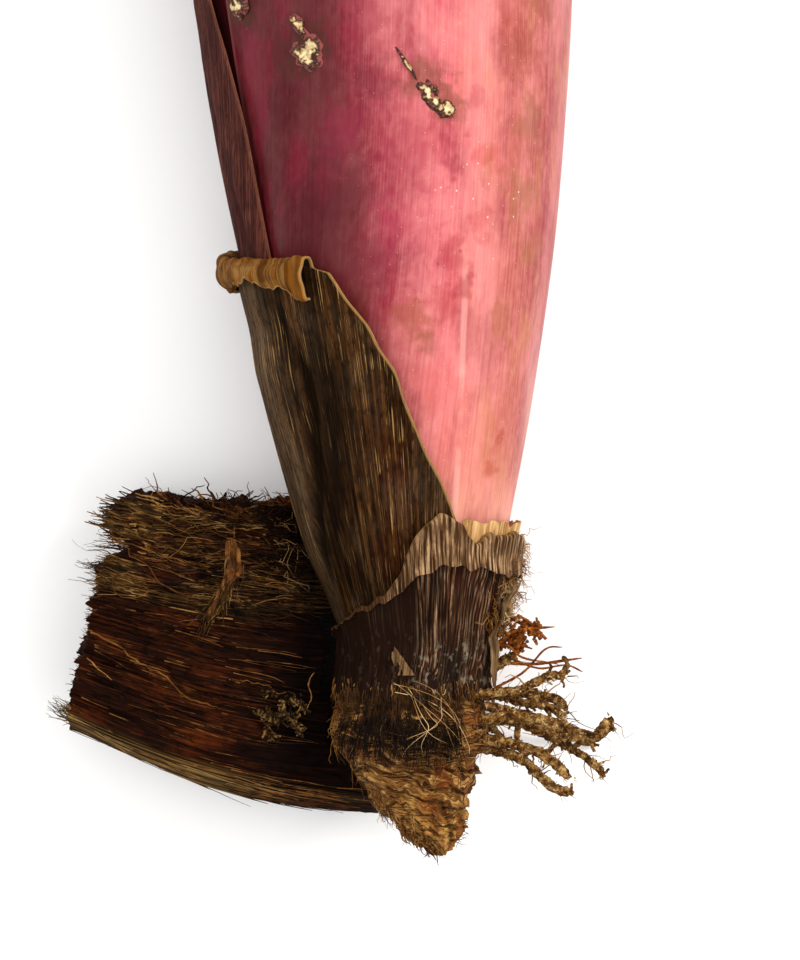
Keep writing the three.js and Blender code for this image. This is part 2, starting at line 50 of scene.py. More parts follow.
# ---------- dimensions, in millimetres ----------
NECK_Y, NECK_R = 40, 11.3
BELLY_Y, BELLY_R = 195, 35.5
SWELL = 0.84
MOUTH_NARROWING, MOUTH_Y = 2.5, 260
AXIS_HEIGHT, AXIS_X, LEAN, BOW = 33.5, 4.7, -0.05, 0.5
LEAF_THICKNESS, LEAF_PITCH, LEAF_STEP_Y = 1.3, 1.9, 6
BLADE_THICKNESS = 0.9
DRY_THICKNESS, DRY_GAP, DRY_PITCH = 0.5, 0.4, 0.9
FOOT_R, FOOT_Y, TIP_R = 14.2, 23, 1.6
HUSK_CORNERS = np.array([[[-59.4, 25.6], [-50.8, 64.0]], [[-4.0, 9.6], [-6.0, 62.0]]])
HUSK_DEPTH, HUSK_LENGTH, HUSK_WIDTH = 38, 54, 50

# What takes the plant's frame to the part's: the husk's far corner and the stem's tip fix it.
SHIFT = np.array([
    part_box("husk")[0].x * 1000 - HUSK_CORNERS[0, 0, 0],
    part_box("stem")[0].y * 1000,
    0.0,
])


# ---------- small sums ----------
WAVE_COUNT = 26


def smoothstep(low, high, x):
    t = np.clip((np.asarray(x, float) - low) / (high - low), 0, 1)
    return t * t * (3 - 2 * t)


def mix(a, b, t):
    return a + (b - a) * t


def along(pairs, x):
    """A value read off a list of (where, value) pairs, smoothly between them."""
    x = np.asarray(x, float)
    value = np.full(x.shape, float(pairs[0][1]))
    for (x0, v0), (x1, v1) in zip(pairs, pairs[1:]):
        value = np.where(x >= x0, mix(v0, v1, smoothstep(x0, x1, x)), value)
    return value


def flowing(pairs, x):
    """The same as one flowing curve through the pairs."""
    at, value = np.array(pairs, float).T
    slope = np.gradient(value, at)
    x = np.clip(np.asarray(x, float), at[0], at[-1])
    k = np.clip(np.searchsorted(at, x) - 1, 0, len(at) - 2)
    run = at[k + 1] - at[k]
    t = (x - at[k]) / run
    near = (1 + 2 * t) * (1 - t) ** 2 * value[k] + t * (1 - t) ** 2 * run * slope[k]
    return near + t ** 2 * (3 - 2 * t) * value[k + 1] + t ** 2 * (t - 1) * run * slope[k + 1]


def waves(points, size, seed):
    """A smooth random field, about -1 to 1, whose bumps are about `size` across."""
    random = np.random.default_rng(seed)
    directions = random.normal(size=(WAVE_COUNT, points.shape[-1]))
    phases = random.uniform(0, 2 * math.pi, WAVE_COUNT)
    return np.sin(points @ directions.T * (2.2 / size) + phases).sum(-1) / math.sqrt(WAVE_COUNT)


def ripples(a, b, seed, size=1.0):
    """The same field over two coordinates of a sheet."""
    return waves(np.stack(np.broadcast_arrays(a, b), -1), size, seed)


def unit(vectors):
    return vectors / np.maximum(np.linalg.norm(vectors, axis=-1, keepdims=True), 1e-12)


def turned(degrees):
    """The direction at an angle round the tube: 0 is to the right, 90 is on top."""
    a = np.radians(degrees)
    return np.stack([np.cos(a), np.zeros_like(a), np.sin(a)], -1)


# ---------- the plant's frame ----------
def axis_x(y):
    y = np.asarray(y, float)
    return AXIS_X + LEAN * y + BOW * np.sin(math.pi * np.clip(y / BELLY_Y, 0, 1))


def placed(points):
    """Millimetres about the tube's axis to metres in the part's frame."""
    moved = np.array(points, float)
    moved[..., 0] += axis_x(moved[..., 1])
    moved[..., 2] += AXIS_HEIGHT
    return (moved + SHIFT) / 1000


def flat_placed(points):
    """Millimetres about the stem's tip on the floor to metres in the part's frame."""
    return (np.array(points, float) + SHIFT) / 1000


def tube_radius(y):
    share = np.clip((np.asarray(y, float) - NECK_Y) / (BELLY_Y - NECK_Y), 0, 1)
    swell = np.sin(math.pi / 2 * share) ** SWELL
    return mix(NECK_R, BELLY_R, swell) - MOUTH_NARROWING * smoothstep(BELLY_Y, MOUTH_Y, y)


def live_radius(layer, y):
    return tube_radius(y) - LEAF_THICKNESS / 2 - layer * LEAF_PITCH


def dry_radius(layer, y):
    return tube_radius(y) + DRY_GAP + DRY_THICKNESS / 2 + (layer - 1) * DRY_PITCH


# Pairs of a height and, first, how far the stem is set aside there, then its radius.
STEM_SHIFT = [(0, 2.5), (5, 1.3), (10, -1), (21, -2.1), (30, -1.3), (40, 0)]
STEM_FOOT = [(0, TIP_R), (5, 5.5), (10, 8.4), (16, 11.2), (21, 14), (FOOT_Y, FOOT_R)]


def stem_radius(y):
    y = np.asarray(y, float)
    layers = (np.maximum(y, NECK_Y) - NECK_Y) / LEAF_STEP_Y + 1
    in_leaves = tube_radius(y) - layers * LEAF_PITCH + 0.3
    neck = mix(FOOT_R, in_leaves, smoothstep(FOOT_Y, NECK_Y, y))
    return np.where(y <= FOOT_Y, along(STEM_FOOT, y), neck)


def basal_radius(y):
    y = np.asarray(y, float)
    eased = NECK_Y + np.logaddexp(0, (y - NECK_Y) / 2.5) * 2.5
    over_leaves, over_stem = dry_radius(3, eased), stem_radius(y) + 0.3 + DRY_THICKNESS
    return np.logaddexp(over_leaves * 1.2, over_stem * 1.2) / 1.2


def about_axis(r, degrees, y):
    points = turned(degrees) * np.asarray(r)[..., None]
    points[..., 1] = y
    return points


def about_stem(r, degrees, y):
    points = about_axis(r, degrees, y)
    points[..., 0] += along(STEM_SHIFT, np.clip(y, 0, NECK_Y))
    return points


# ---------- nodes ----------
def paint(r, g, b):
    """A colour given as it looks, 0 to 255, as the light it stands for."""
    def light(v):
        v /= 255
        return v / 12.92 if v <= 0.04045 else ((v + 0.055) / 1.055) ** 2.4
    return (light(r), light(g), light(b), 1.0)


def node(tree, kind, values=None, **settings):
    """Adds a node. `values` maps its input sockets to numbers or to other nodes' sockets."""
    made = tree.nodes.new(kind)
    for key, value in settings.items():
        setattr(made, key, value)
    feed(tree, made, values or {})
    return made


def feed(tree, made, values):
    by_identifier = {socket.identifier: socket for socket in made.inputs}
    for key, value in values.items():
        socket = by_identifier[key] if key in by_identifier else made.inputs[key]
        if isinstance(value, bpy.types.NodeSocket):
            tree.links.new(value, socket)
        else:
            socket.default_value = value


def math_of(tree, operation, a, b=0.0, clamp=False):
    return node(
        tree, "ShaderNodeMath", {0: a, 1: b}, operation=operation, use_clamp=clamp).outputs[0]


def stretch(tree, vector, across, lengthwise, third=1.0):
    factors = node(tree, "ShaderNodeCombineXYZ", {0: across, 1: lengthwise, 2: third}).outputs[0]
    return node(
        tree, "ShaderNodeVectorMath", {0: vector, 1: factors}, operation="MULTIPLY").outputs[0]


def between(tree, value, low, high, to_low=0.0, to_high=1.0):
    values = {
        "Value": value, "From Min": low, "From Max": high, "To Min": to_low, "To Max": to_high}
    return node(tree, "ShaderNodeMapRange", values, interpolation_type="SMOOTHSTEP").outputs[0]


def blend(tree, factor, a, b):
    colors = {"Factor": factor, 6: a, 7: b}
    return node(tree, "ShaderNodeMix", colors, data_type="RGBA").outputs[2]


def ramp(tree, factor, stops):
    made = node(tree, "ShaderNodeValToRGB", {"Fac": factor})
    elements = made.color_ramp.elements
    while len(elements) < len(stops):
        elements.new(0.5)
    for element, (position, color) in zip(elements, stops):
        element.position = position
        element.color = color
    return made.outputs[0]


def mark(tree, name):
    return node(tree, "ShaderNodeAttribute", attribute_name=name).outputs["Fac"]


def tree_with(kind, name, inputs, outputs):
    tree = bpy.data.node_groups.new(name, kind)
    for label, socket, value in inputs:
        made = tree.interface.new_socket(label, in_out="INPUT", socket_type=socket)
        if value is not None:
            made.default_value = value
    for label, socket in outputs:
        tree.interface.new_socket(label, in_out="OUTPUT", socket_type=socket)
    return tree, tree.nodes.new("NodeGroupInput").outputs, tree.nodes.new("NodeGroupOutput")


def shader_group(name, inputs, outputs):
    return tree_with("ShaderNodeTree", name, inputs, outputs)


NUMBER, VECTOR = "NodeSocketFloat", "NodeSocketVector"


def lines_group():
    """Fine nerves or fibres: a noise drawn out along one direction."""
    tree, given, out = shader_group(
        "fine_lines",
        [("Vector", VECTOR, None), ("Across", NUMBER, 2000), ("Along", NUMBER, 25),
         ("Detail", NUMBER, 3), ("Low", NUMBER, 0.38), ("High", NUMBER, 0.62)],
        [("Lines", NUMBER), ("Height", NUMBER)])
    vector = stretch(tree, given["Vector"], given["Across"], given["Along"], 0.0)
    noise = node(
        tree, "ShaderNodeTexNoise",
        {"Vector": vector, "Scale": 1.0, "Detail": given["Detail"], "Roughness": 0.6}).outputs[0]
    lines = between(tree, noise, given["Low"], given["High"])
    tree.links.new(lines, out.inputs["Lines"])
    tree.links.new(noise, out.inputs["Height"])
    return tree


def patches_group():
    """Soft uneven patches."""
    tree, given, out = shader_group(
        "patches",
        [("Vector", VECTOR, None), ("Across", NUMBER, 100), ("Along", NUMBER, 100),
         ("Low", NUMBER, 0.45), ("High", NUMBER, 0.62), ("Seed", NUMBER, 0.0)],
        [("Mask", NUMBER)])
    vector = stretch(tree, given["Vector"], given["Across"], given["Along"], given["Across"])
    noise = node(
        tree, "ShaderNodeTexNoise",
        {"Vector": vector, "W": given["Seed"], "Scale": 1.0, "Detail": 4.0, "Roughness": 0.55},
        noise_dimensions="4D").outputs[0]
    tree.links.new(between(tree, noise, given["Low"], given["High"]), out.inputs["Mask"])
    return tree


def specks_group():
    """Scattered dots: some of the cells of a regular scatter hold one."""
    tree, given, out = shader_group(
        "specks",
        [
            ("Vector", VECTOR, None), ("Scale", NUMBER, 800), ("Size", NUMBER, 0.2),
            ("Share", NUMBER, 0.3)],
        [("Mask", NUMBER)])
    cells = node(tree, "ShaderNodeTexVoronoi", {"Vector": given["Vector"], "Scale": given["Scale"]})
    soft = math_of(tree, "MULTIPLY", given["Size"], 0.5)
    dot = between(tree, cells.outputs["Distance"], given["Size"], soft)
    chance = node(tree, "ShaderNodeSeparateColor", {0: cells.outputs["Color"]}).outputs[0]
    chosen = math_of(tree, "LESS_THAN", chance, given["Share"])
    tree.links.new(math_of(tree, "MULTIPLY", dot, chosen), out.inputs["Mask"])
    return tree


def stain_group():
    """One ragged stain about a point."""
    tree, given, out = shader_group(
        "stain",
        [("Vector", VECTOR, None), ("Centre", VECTOR, (0, 0, 0)), ("Radius", NUMBER, 0.01),
         ("Ragged", NUMBER, 0.5)],
        [("Mask", NUMBER)])
    apart = node(
        tree, "ShaderNodeVectorMath", {0: given["Vector"], 1: given["Centre"]},
        operation="DISTANCE")
    share = math_of(tree, "DIVIDE", apart.outputs["Value"], given["Radius"])
    noise = node(
        tree, "ShaderNodeTexNoise", {"Vector": given["Vector"], "Scale": 350.0, "Detail": 4.0})
    centred = math_of(tree, "SUBTRACT", noise.outputs[0], 0.5)
    bent = math_of(tree, "MULTIPLY", centred, math_of(tree, "MULTIPLY", given["Ragged"], 4.0))
    tree.links.new(between(tree, math_of(tree, "ADD", share, bent), 1.0, 0.25), out.inputs["Mask"])
    return tree


GROUPS = {
    "lines": lines_group(), "patches": patches_group(), "specks": specks_group(),
    "stain": stain_group()}


def effect(tree, name, output, values):
    made = node(tree, "ShaderNodeGroup", node_tree=GROUPS[name])
    feed(tree, made, values)
    return made.outputs[output]


class Finish:
    """A material under construction, with the coordinates that its patterns follow."""

    def __init__(self, name):
        self.material = bpy.data.materials.new(name)
        self.material.use_nodes = True
        self.tree = self.material.node_tree
        self.surface = self.tree.nodes["Principled BSDF"]
        coordinates = node(self.tree, "ShaderNodeTexCoord")
        self.place = coordinates.outputs["Object"]
        self.grain = coordinates.outputs["UV"]

    def lines(self, across, lengthwise, low=0.38, high=0.62, detail=3.0, output="Lines"):
        return effect(self.tree, "lines", output, {
            "Vector": self.grain, "Across": across, "Along": lengthwise, "Detail": detail,
            "Low": low, "High": high})

    def patches(self, across, lengthwise, low=0.45, high=0.62, seed=0.0):
        return effect(self.tree, "patches", "Mask", {
            "Vector": self.grain, "Across": across, "Along": lengthwise,
            "Low": low, "High": high, "Seed": seed})

    def specks(self, scale, size, share):
        return effect(self.tree, "specks", "Mask", {
            "Vector": self.place, "Scale": scale, "Size": size, "Share": share})

    def stain(self, centre, radius, ragged=0.5):
        return effect(self.tree, "stain", "Mask", {
            "Vector": self.place, "Centre": tuple(centre), "Radius": radius, "Ragged": ragged})

    def times(self, a, b):
        return math_of(self.tree, "MULTIPLY", a, b)

    def over(self, color, mask, top, amount=None):
        """Lays `top` over a colour where the mask is, or a share of it, `amount`."""
        factor = mask if amount is None else self.times(mask, amount)
        return blend(self.tree, factor, color, top)

    def ramp(self, factor, stops):
        return ramp(self.tree, factor, stops)

    def band(self, value, low, high, to_low=0.0, to_high=1.0):
        return between(self.tree, value, low, high, to_low, to_high)

    def mark(self, name):
        return mark(self.tree, name)

    def done(self, color, roughness, height=None, bump=0.0002, strength=0.5, **constants):
        feed(self.tree, self.surface, {"Base Color": color, "Roughness": roughness})
        for key, value in constants.items():
            self.surface.inputs[key.replace("_", " ")].default_value = value
        if height is not None:
            made = node(
                self.tree, "ShaderNodeBump",
                {"Height": height, "Distance": bump, "Strength": strength})
            self.tree.links.new(made.outputs[0], self.surface.inputs["Normal"])
        return self.material


# ---------- meshes ----------
def mesh_piece(name, points, faces, material, uv=None, marks=None, sharp=50):
    mesh = bpy.data.meshes.new(name)
    mesh.from_pydata(np.asarray(points).reshape(-1, 3).tolist(), [], faces)
    if uv is not None:
        corner = np.empty(len(mesh.loops), dtype=np.int32)
        mesh.loops.foreach_get("vertex_index", corner)
        layer = mesh.uv_layers.new(name="grain")
        layer.data.foreach_set("uv", np.asarray(uv, np.float32).reshape(-1, 2)[corner].ravel())
    for label, values in (marks or {}).items():
        attribute = mesh.attributes.new(label, "FLOAT", "POINT")
        attribute.data.foreach_set("value", np.asarray(values, np.float32).ravel())
    mesh.materials.append(material)
    mesh.polygons.foreach_set("use_smooth", np.ones(len(mesh.polygons), dtype=bool))
    mesh.set_sharp_from_angle(angle=math.radians(sharp))
    mesh.update()
    piece = bpy.data.objects.new(name, mesh)
    bpy.context.collection.objects.link(piece)
    return piece


def fix_normals(piece, weld=None):
    """Turns every face outwards, after joining points closer than `weld` metres."""
    made = bmesh.new()
    made.from_mesh(piece.data)
    if weld:
        bmesh.ops.remove_doubles(made, verts=made.verts, dist=weld)
    bmesh.ops.recalc_face_normals(made, faces=made.faces)
    made.to_mesh(piece.data)
    made.free()


def show(piece, slot, *nodes):
    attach(piece, "root")
    if nodes:
        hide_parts(*nodes)
    return piece


def grid_faces(rows, columns, start=0, closed=False, turned_round=False):
    span = columns if closed else columns - 1
    i, j = np.meshgrid(np.arange(rows - 1), np.arange(span), indexing="ij")
    a = start + i * columns + j
    b = start + i * columns + (j + 1) % columns
    quads = np.stack([a, a + columns, b + columns, b], -1).reshape(-1, 4)
    return (quads[:, ::-1] if turned_round else quads).tolist()


def shell_piece(name, middle, thickness, material, across, lengthwise, marks=None):
    """A closed wall round a sheet of points in metres. Its UV map is in metres across and along."""
    rows, columns = middle.shape[:2]
    normal = unit(np.cross(np.gradient(middle, axis=0), np.gradient(middle, axis=1)))
    half = np.broadcast_to(thickness, (rows, columns))[..., None] / 2000
    points = np.concatenate(
        [(middle + normal * half).reshape(-1, 3), (middle - normal * half).reshape(-1, 3)])
    back = rows * columns
    faces = grid_faces(rows, columns) + grid_faces(rows, columns, back, turned_round=True)
    for i in range(rows - 1):
        low, high = i * columns, (i + 1) * columns
        faces.append((low, back + low, back + high, high))
        low, high = low + columns - 1, high + columns - 1
        faces.append((low, high, back + high, back + low))
    last = (rows - 1) * columns
    for j in range(columns - 1):
        faces.append((j, j + 1, back + j + 1, back + j))
        faces.append((last + j, back + last + j, back + last + j + 1, last + j + 1))
    uv = np.stack(np.broadcast_arrays(across / 1000, lengthwise / 1000), -1).reshape(-1, 2)
    both = {
        key: np.tile(np.broadcast_to(value, (rows, columns)).ravel(), 2) for key,
        value in (marks or {}).items()}
    both["outside"] = np.repeat([1.0, 0.0], rows * columns)
    return mesh_piece(name, points, faces, material, np.tile(uv, (2, 1)), both)


# ---------- geometry-node trees ----------
GEOMETRY, INTEGER, MATERIAL = "NodeSocketGeometry", "NodeSocketInt", "NodeSocketMaterial"


def named(tree, name, kind="FLOAT"):
    return node(
        tree, "GeometryNodeInputNamedAttribute", {"Name": name},
        data_type=kind).outputs["Attribute"]


def fibres_tree():
    """A bent, tapering fibre on each point. Points carry `grow`, `pull`, `long`, `wide`, `kind`."""
    tree, given, out = tree_with(
        "GeometryNodeTree", "fibres",
        [
            ("Points", GEOMETRY, None), ("Bow", NUMBER, 0.15), ("Waves", NUMBER, 1.4),
            ("Steps", INTEGER, 7), ("Sides", INTEGER, 3), ("Tip", NUMBER, 0.3),
            ("Seed", INTEGER, 0), ("Material", MATERIAL, None)],
        [("Mesh", GEOMETRY)])
    line = node(tree, "GeometryNodeCurvePrimitiveLine", {"Start": (0, 0, 0), "End": (0, 0, 1)})
    stepped = node(
        tree, "GeometryNodeResampleCurve", {"Curve": line.outputs[0], "Count": given["Steps"]})
    one = node(tree, "GeometryNodeGeometryToInstance", {"Geometry": stepped.outputs[0]})
    dots = node(tree, "GeometryNodeMeshToPoints", {"Mesh": given["Points"]})
    aimed = node(
        tree, "FunctionNodeAlignRotationToVector", {"Vector": named(tree, "grow", "FLOAT_VECTOR")},
        axis="Z")
    long = named(tree, "long")
    copies = node(
        tree, "GeometryNodeInstanceOnPoints",
        {
            "Points": dots.outputs[0], "Instance": one.outputs[0], "Rotation": aimed.outputs[0],
            "Scale": long})
    curves = node(tree, "GeometryNodeRealizeInstances", {0: copies.outputs[0]})

    share = node(tree, "GeometryNodeSplineParameter").outputs["Factor"]
    where = node(
        tree, "ShaderNodeCombineXYZ",
        {
            0: math_of(tree, "MULTIPLY", share, given["Waves"]),
            1: math_of(tree, "MULTIPLY", named(tree, "kind"), 57.0), 2: given["Seed"]})
    noise = node(
        tree, "ShaderNodeTexNoise", {"Vector": where.outputs[0], "Scale": 1.0, "Detail": 2.0})
    centred = node(tree, "ShaderNodeVectorMath", {0: noise.outputs["Color"], 1: (0.5, 0.5, 0.5)},
                   operation="SUBTRACT")
    reach = math_of(tree, "MULTIPLY", math_of(tree, "MULTIPLY", given["Bow"], 8.0),
                    math_of(tree, "MULTIPLY", share, long))
    bent = node(
        tree, "ShaderNodeVectorMath", {0: centred.outputs[0], "Scale": reach}, operation="SCALE")
    sag = math_of(tree, "MULTIPLY", math_of(tree, "MULTIPLY", share, share), long)
    pulled = node(
        tree, "ShaderNodeVectorMath", {0: named(tree, "pull", "FLOAT_VECTOR"), "Scale": sag},
        operation="SCALE")
    offset = node(tree, "ShaderNodeVectorMath", {0: bent.outputs[0], 1: pulled.outputs[0]})
    moved = node(
        tree, "GeometryNodeSetPosition",
        {"Geometry": curves.outputs[0], "Offset": offset.outputs[0]})

    ring = node(
        tree, "GeometryNodeCurvePrimitiveCircle", {"Resolution": given["Sides"], "Radius": 1.0})
    taper = node(
        tree, "ShaderNodeMapRange", {"Value": share, "To Min": 1.0, "To Max": given["Tip"]})
    width = math_of(tree, "MULTIPLY", named(tree, "wide"), taper.outputs[0])
    tube = node(
        tree, "GeometryNodeCurveToMesh",
        {
            "Curve": moved.outputs[0], "Profile Curve": ring.outputs[0], "Scale": width,
            "Fill Caps": True})
    real = node(tree, "GeometryNodeRealizeInstances", {0: tube.outputs[0]})
    smooth = node(tree, "GeometryNodeSetShadeSmooth", {0: real.outputs[0]})
    finished = node(
        tree, "GeometryNodeSetMaterial",
        {"Geometry": smooth.outputs[0], "Material": given["Material"]})
    tree.links.new(finished.outputs[0], out.inputs[0])
    return tree


def roots_tree():
    """A knobbly tube along every line of points. Points carry `thick`."""
    tree, given, out = tree_with(
        "GeometryNodeTree", "knobbly_roots",
        [("Lines", GEOMETRY, None), ("Step", NUMBER, 0.0004), ("Sides", INTEGER, 12),
         ("Knobs", NUMBER, 0.0005), ("Knob size", NUMBER, 0.0016), ("Material", MATERIAL, None)],
        [("Mesh", GEOMETRY)])
    curve = node(tree, "GeometryNodeMeshToCurve", {0: given["Lines"]})
    even = node(
        tree, "GeometryNodeResampleCurve", {"Curve": curve.outputs[0], "Length": given["Step"]},
        mode="LENGTH")
    ring = node(
        tree, "GeometryNodeCurvePrimitiveCircle", {"Resolution": given["Sides"], "Radius": 1.0})
    tube = node(tree, "GeometryNodeCurveToMesh", {
        "Curve": even.outputs[0], "Profile Curve": ring.outputs[0], "Scale": named(tree, "thick"),
        "Fill Caps": True})
    scale = math_of(tree, "DIVIDE", 1.0, given["Knob size"])
    noise = node(tree, "ShaderNodeTexNoise", {"Scale": scale, "Detail": 3.0, "Roughness": 0.6})
    position = node(tree, "GeometryNodeInputPosition")
    tree.links.new(position.outputs[0], noise.inputs["Vector"])
    lumps = math_of(tree, "MULTIPLY", math_of(tree, "SUBTRACT", noise.outputs[0], 0.45), 3.0)
    push = math_of(tree, "MULTIPLY", lumps, given["Knobs"])
    normal = node(tree, "GeometryNodeInputNormal")
    offset = node(
        tree, "ShaderNodeVectorMath", {0: normal.outputs[0], "Scale": push}, operation="SCALE")
    moved = node(
        tree, "GeometryNodeSetPosition", {"Geometry": tube.outputs[0], "Offset": offset.outputs[0]})
    real = node(tree, "GeometryNodeRealizeInstances", {0: moved.outputs[0]})
    smooth = node(tree, "GeometryNodeSetShadeSmooth", {0: real.outputs[0]})
    finished = node(
        tree, "GeometryNodeSetMaterial",
        {"Geometry": smooth.outputs[0], "Material": given["Material"]})
    tree.links.new(finished.outputs[0], out.inputs[0])
    return tree


FIBRES, ROOT_TUBES = fibres_tree(), roots_tree()


def grown(name, seeds, tree, settings):
    """Runs a tree on a bare mesh and keeps the plain mesh that it makes."""
    source = bpy.data.objects.new(name + "_seeds", seeds)
    bpy.context.collection.objects.link(source)
    modifier = source.modifiers.new("grow", "NODES")
    modifier.node_group = tree
    for label, value in settings.items():
        modifier[tree.interface.items_tree[label].identifier] = value
    depsgraph = bpy.context.evaluated_depsgraph_get()
    mesh = bpy.data.meshes.new_from_object(source.evaluated_get(depsgraph), depsgraph=depsgraph)
    bpy.data.objects.remove(source)
    mesh.name = name
    piece = bpy.data.objects.new(name, mesh)
    bpy.context.collection.objects.link(piece)
    return piece


def fibre_piece(
    name, points, grow, long, wide, material, bow=0.15, steps=7, sides=3, tip=0.3, seed=0,
    pull=(0, 0, 0), bends=1.4):
    """Fibres from points in the part's frame, with lengths and radii in millimetres."""
    count = len(points)
    seeds = bpy.data.meshes.new(name + "_seeds")
    seeds.from_pydata(np.asarray(points).tolist(), [], [])
    for label, values in (("grow", unit(grow)), ("pull", np.broadcast_to(pull, (count, 3)))):
        arrows = np.ascontiguousarray(values, np.float32).ravel()
        seeds.attributes.new(label, "FLOAT_VECTOR", "POINT").data.foreach_set("vector", arrows)
    kinds = np.random.default_rng(seed).random(count) * 1000
    for label, values in (("long", long), ("wide", wide), ("kind", kinds)):
        numbers = np.ascontiguousarray(
            np.broadcast_to(np.asarray(values, np.float32) / 1000, count))
        seeds.attributes.new(label, "FLOAT", "POINT").data.foreach_set("value", numbers)
    return grown(
        name, seeds, FIBRES,
        {
            "Bow": float(bow), "Waves": float(bends), "Steps": steps, "Sides": sides,
            "Tip": float(tip), "Seed": seed, "Material": material})


# ---------- finishes ----------
def plant_point(degrees, y):
    return placed(about_axis(tube_radius(y), np.array(float(degrees)), float(y)))


# Each stain: its angle round the tube, height along it, radius, tint and amount.
LEAF_STAINS = [
    (86, 95, 5, (138, 66, 34), 0.5), (80, 92, 3, (126, 70, 34), 0.4),
    (74, 99, 4, (150, 40, 36), 0.4), (70, 106, 5, (146, 24, 38), 0.42),
    (66, 101, 3, (140, 24, 38), 0.45), (60, 112, 4, (160, 40, 40), 0.36),
    (58, 124, 4, (172, 52, 44), 0.34), (63, 133, 3, (140, 30, 48), 0.32),
    (42, 118, 6, (138, 88, 46), 0.42), (39, 130, 6, (124, 76, 40), 0.42),
    (44, 142, 7, (140, 64, 44), 0.40), (34, 108, 5, (146, 92, 52), 0.42),
    (52, 148, 5, (150, 60, 44), 0.34), (94, 136, 5, (96, 20, 34), 0.4),
    (70, 122, 2.6, (120, 22, 46), 0.45), (44, 70, 2.6, (160, 60, 30), 0.55),
    (40, 75, 2.0, (150, 54, 30), 0.45), (116, 142, 7, (62, 34, 18), 0.6),
    (140, 151, 6.5, (62, 38, 20), 0.6), (79, 136, 5.5, (110, 60, 34), 0.6),
    (72, 132, 5, (116, 64, 38), 0.55), (84, 124, 9, (140, 24, 50), 0.3),
    (110, 118, 10, (76, 12, 24), 0.35), (100, 106, 8, (96, 16, 34), 0.35),
    (46, 96, 4, (150, 92, 52), 0.35), (36, 152, 6, (128, 60, 38), 0.35),
    (104, 128, 6, (126, 24, 52), 0.4), (90, 112, 6, (168, 48, 72), 0.35),
    (98, 146, 6, (134, 24, 48), 0.3), (78, 84, 6, (198, 96, 92), 0.4),]


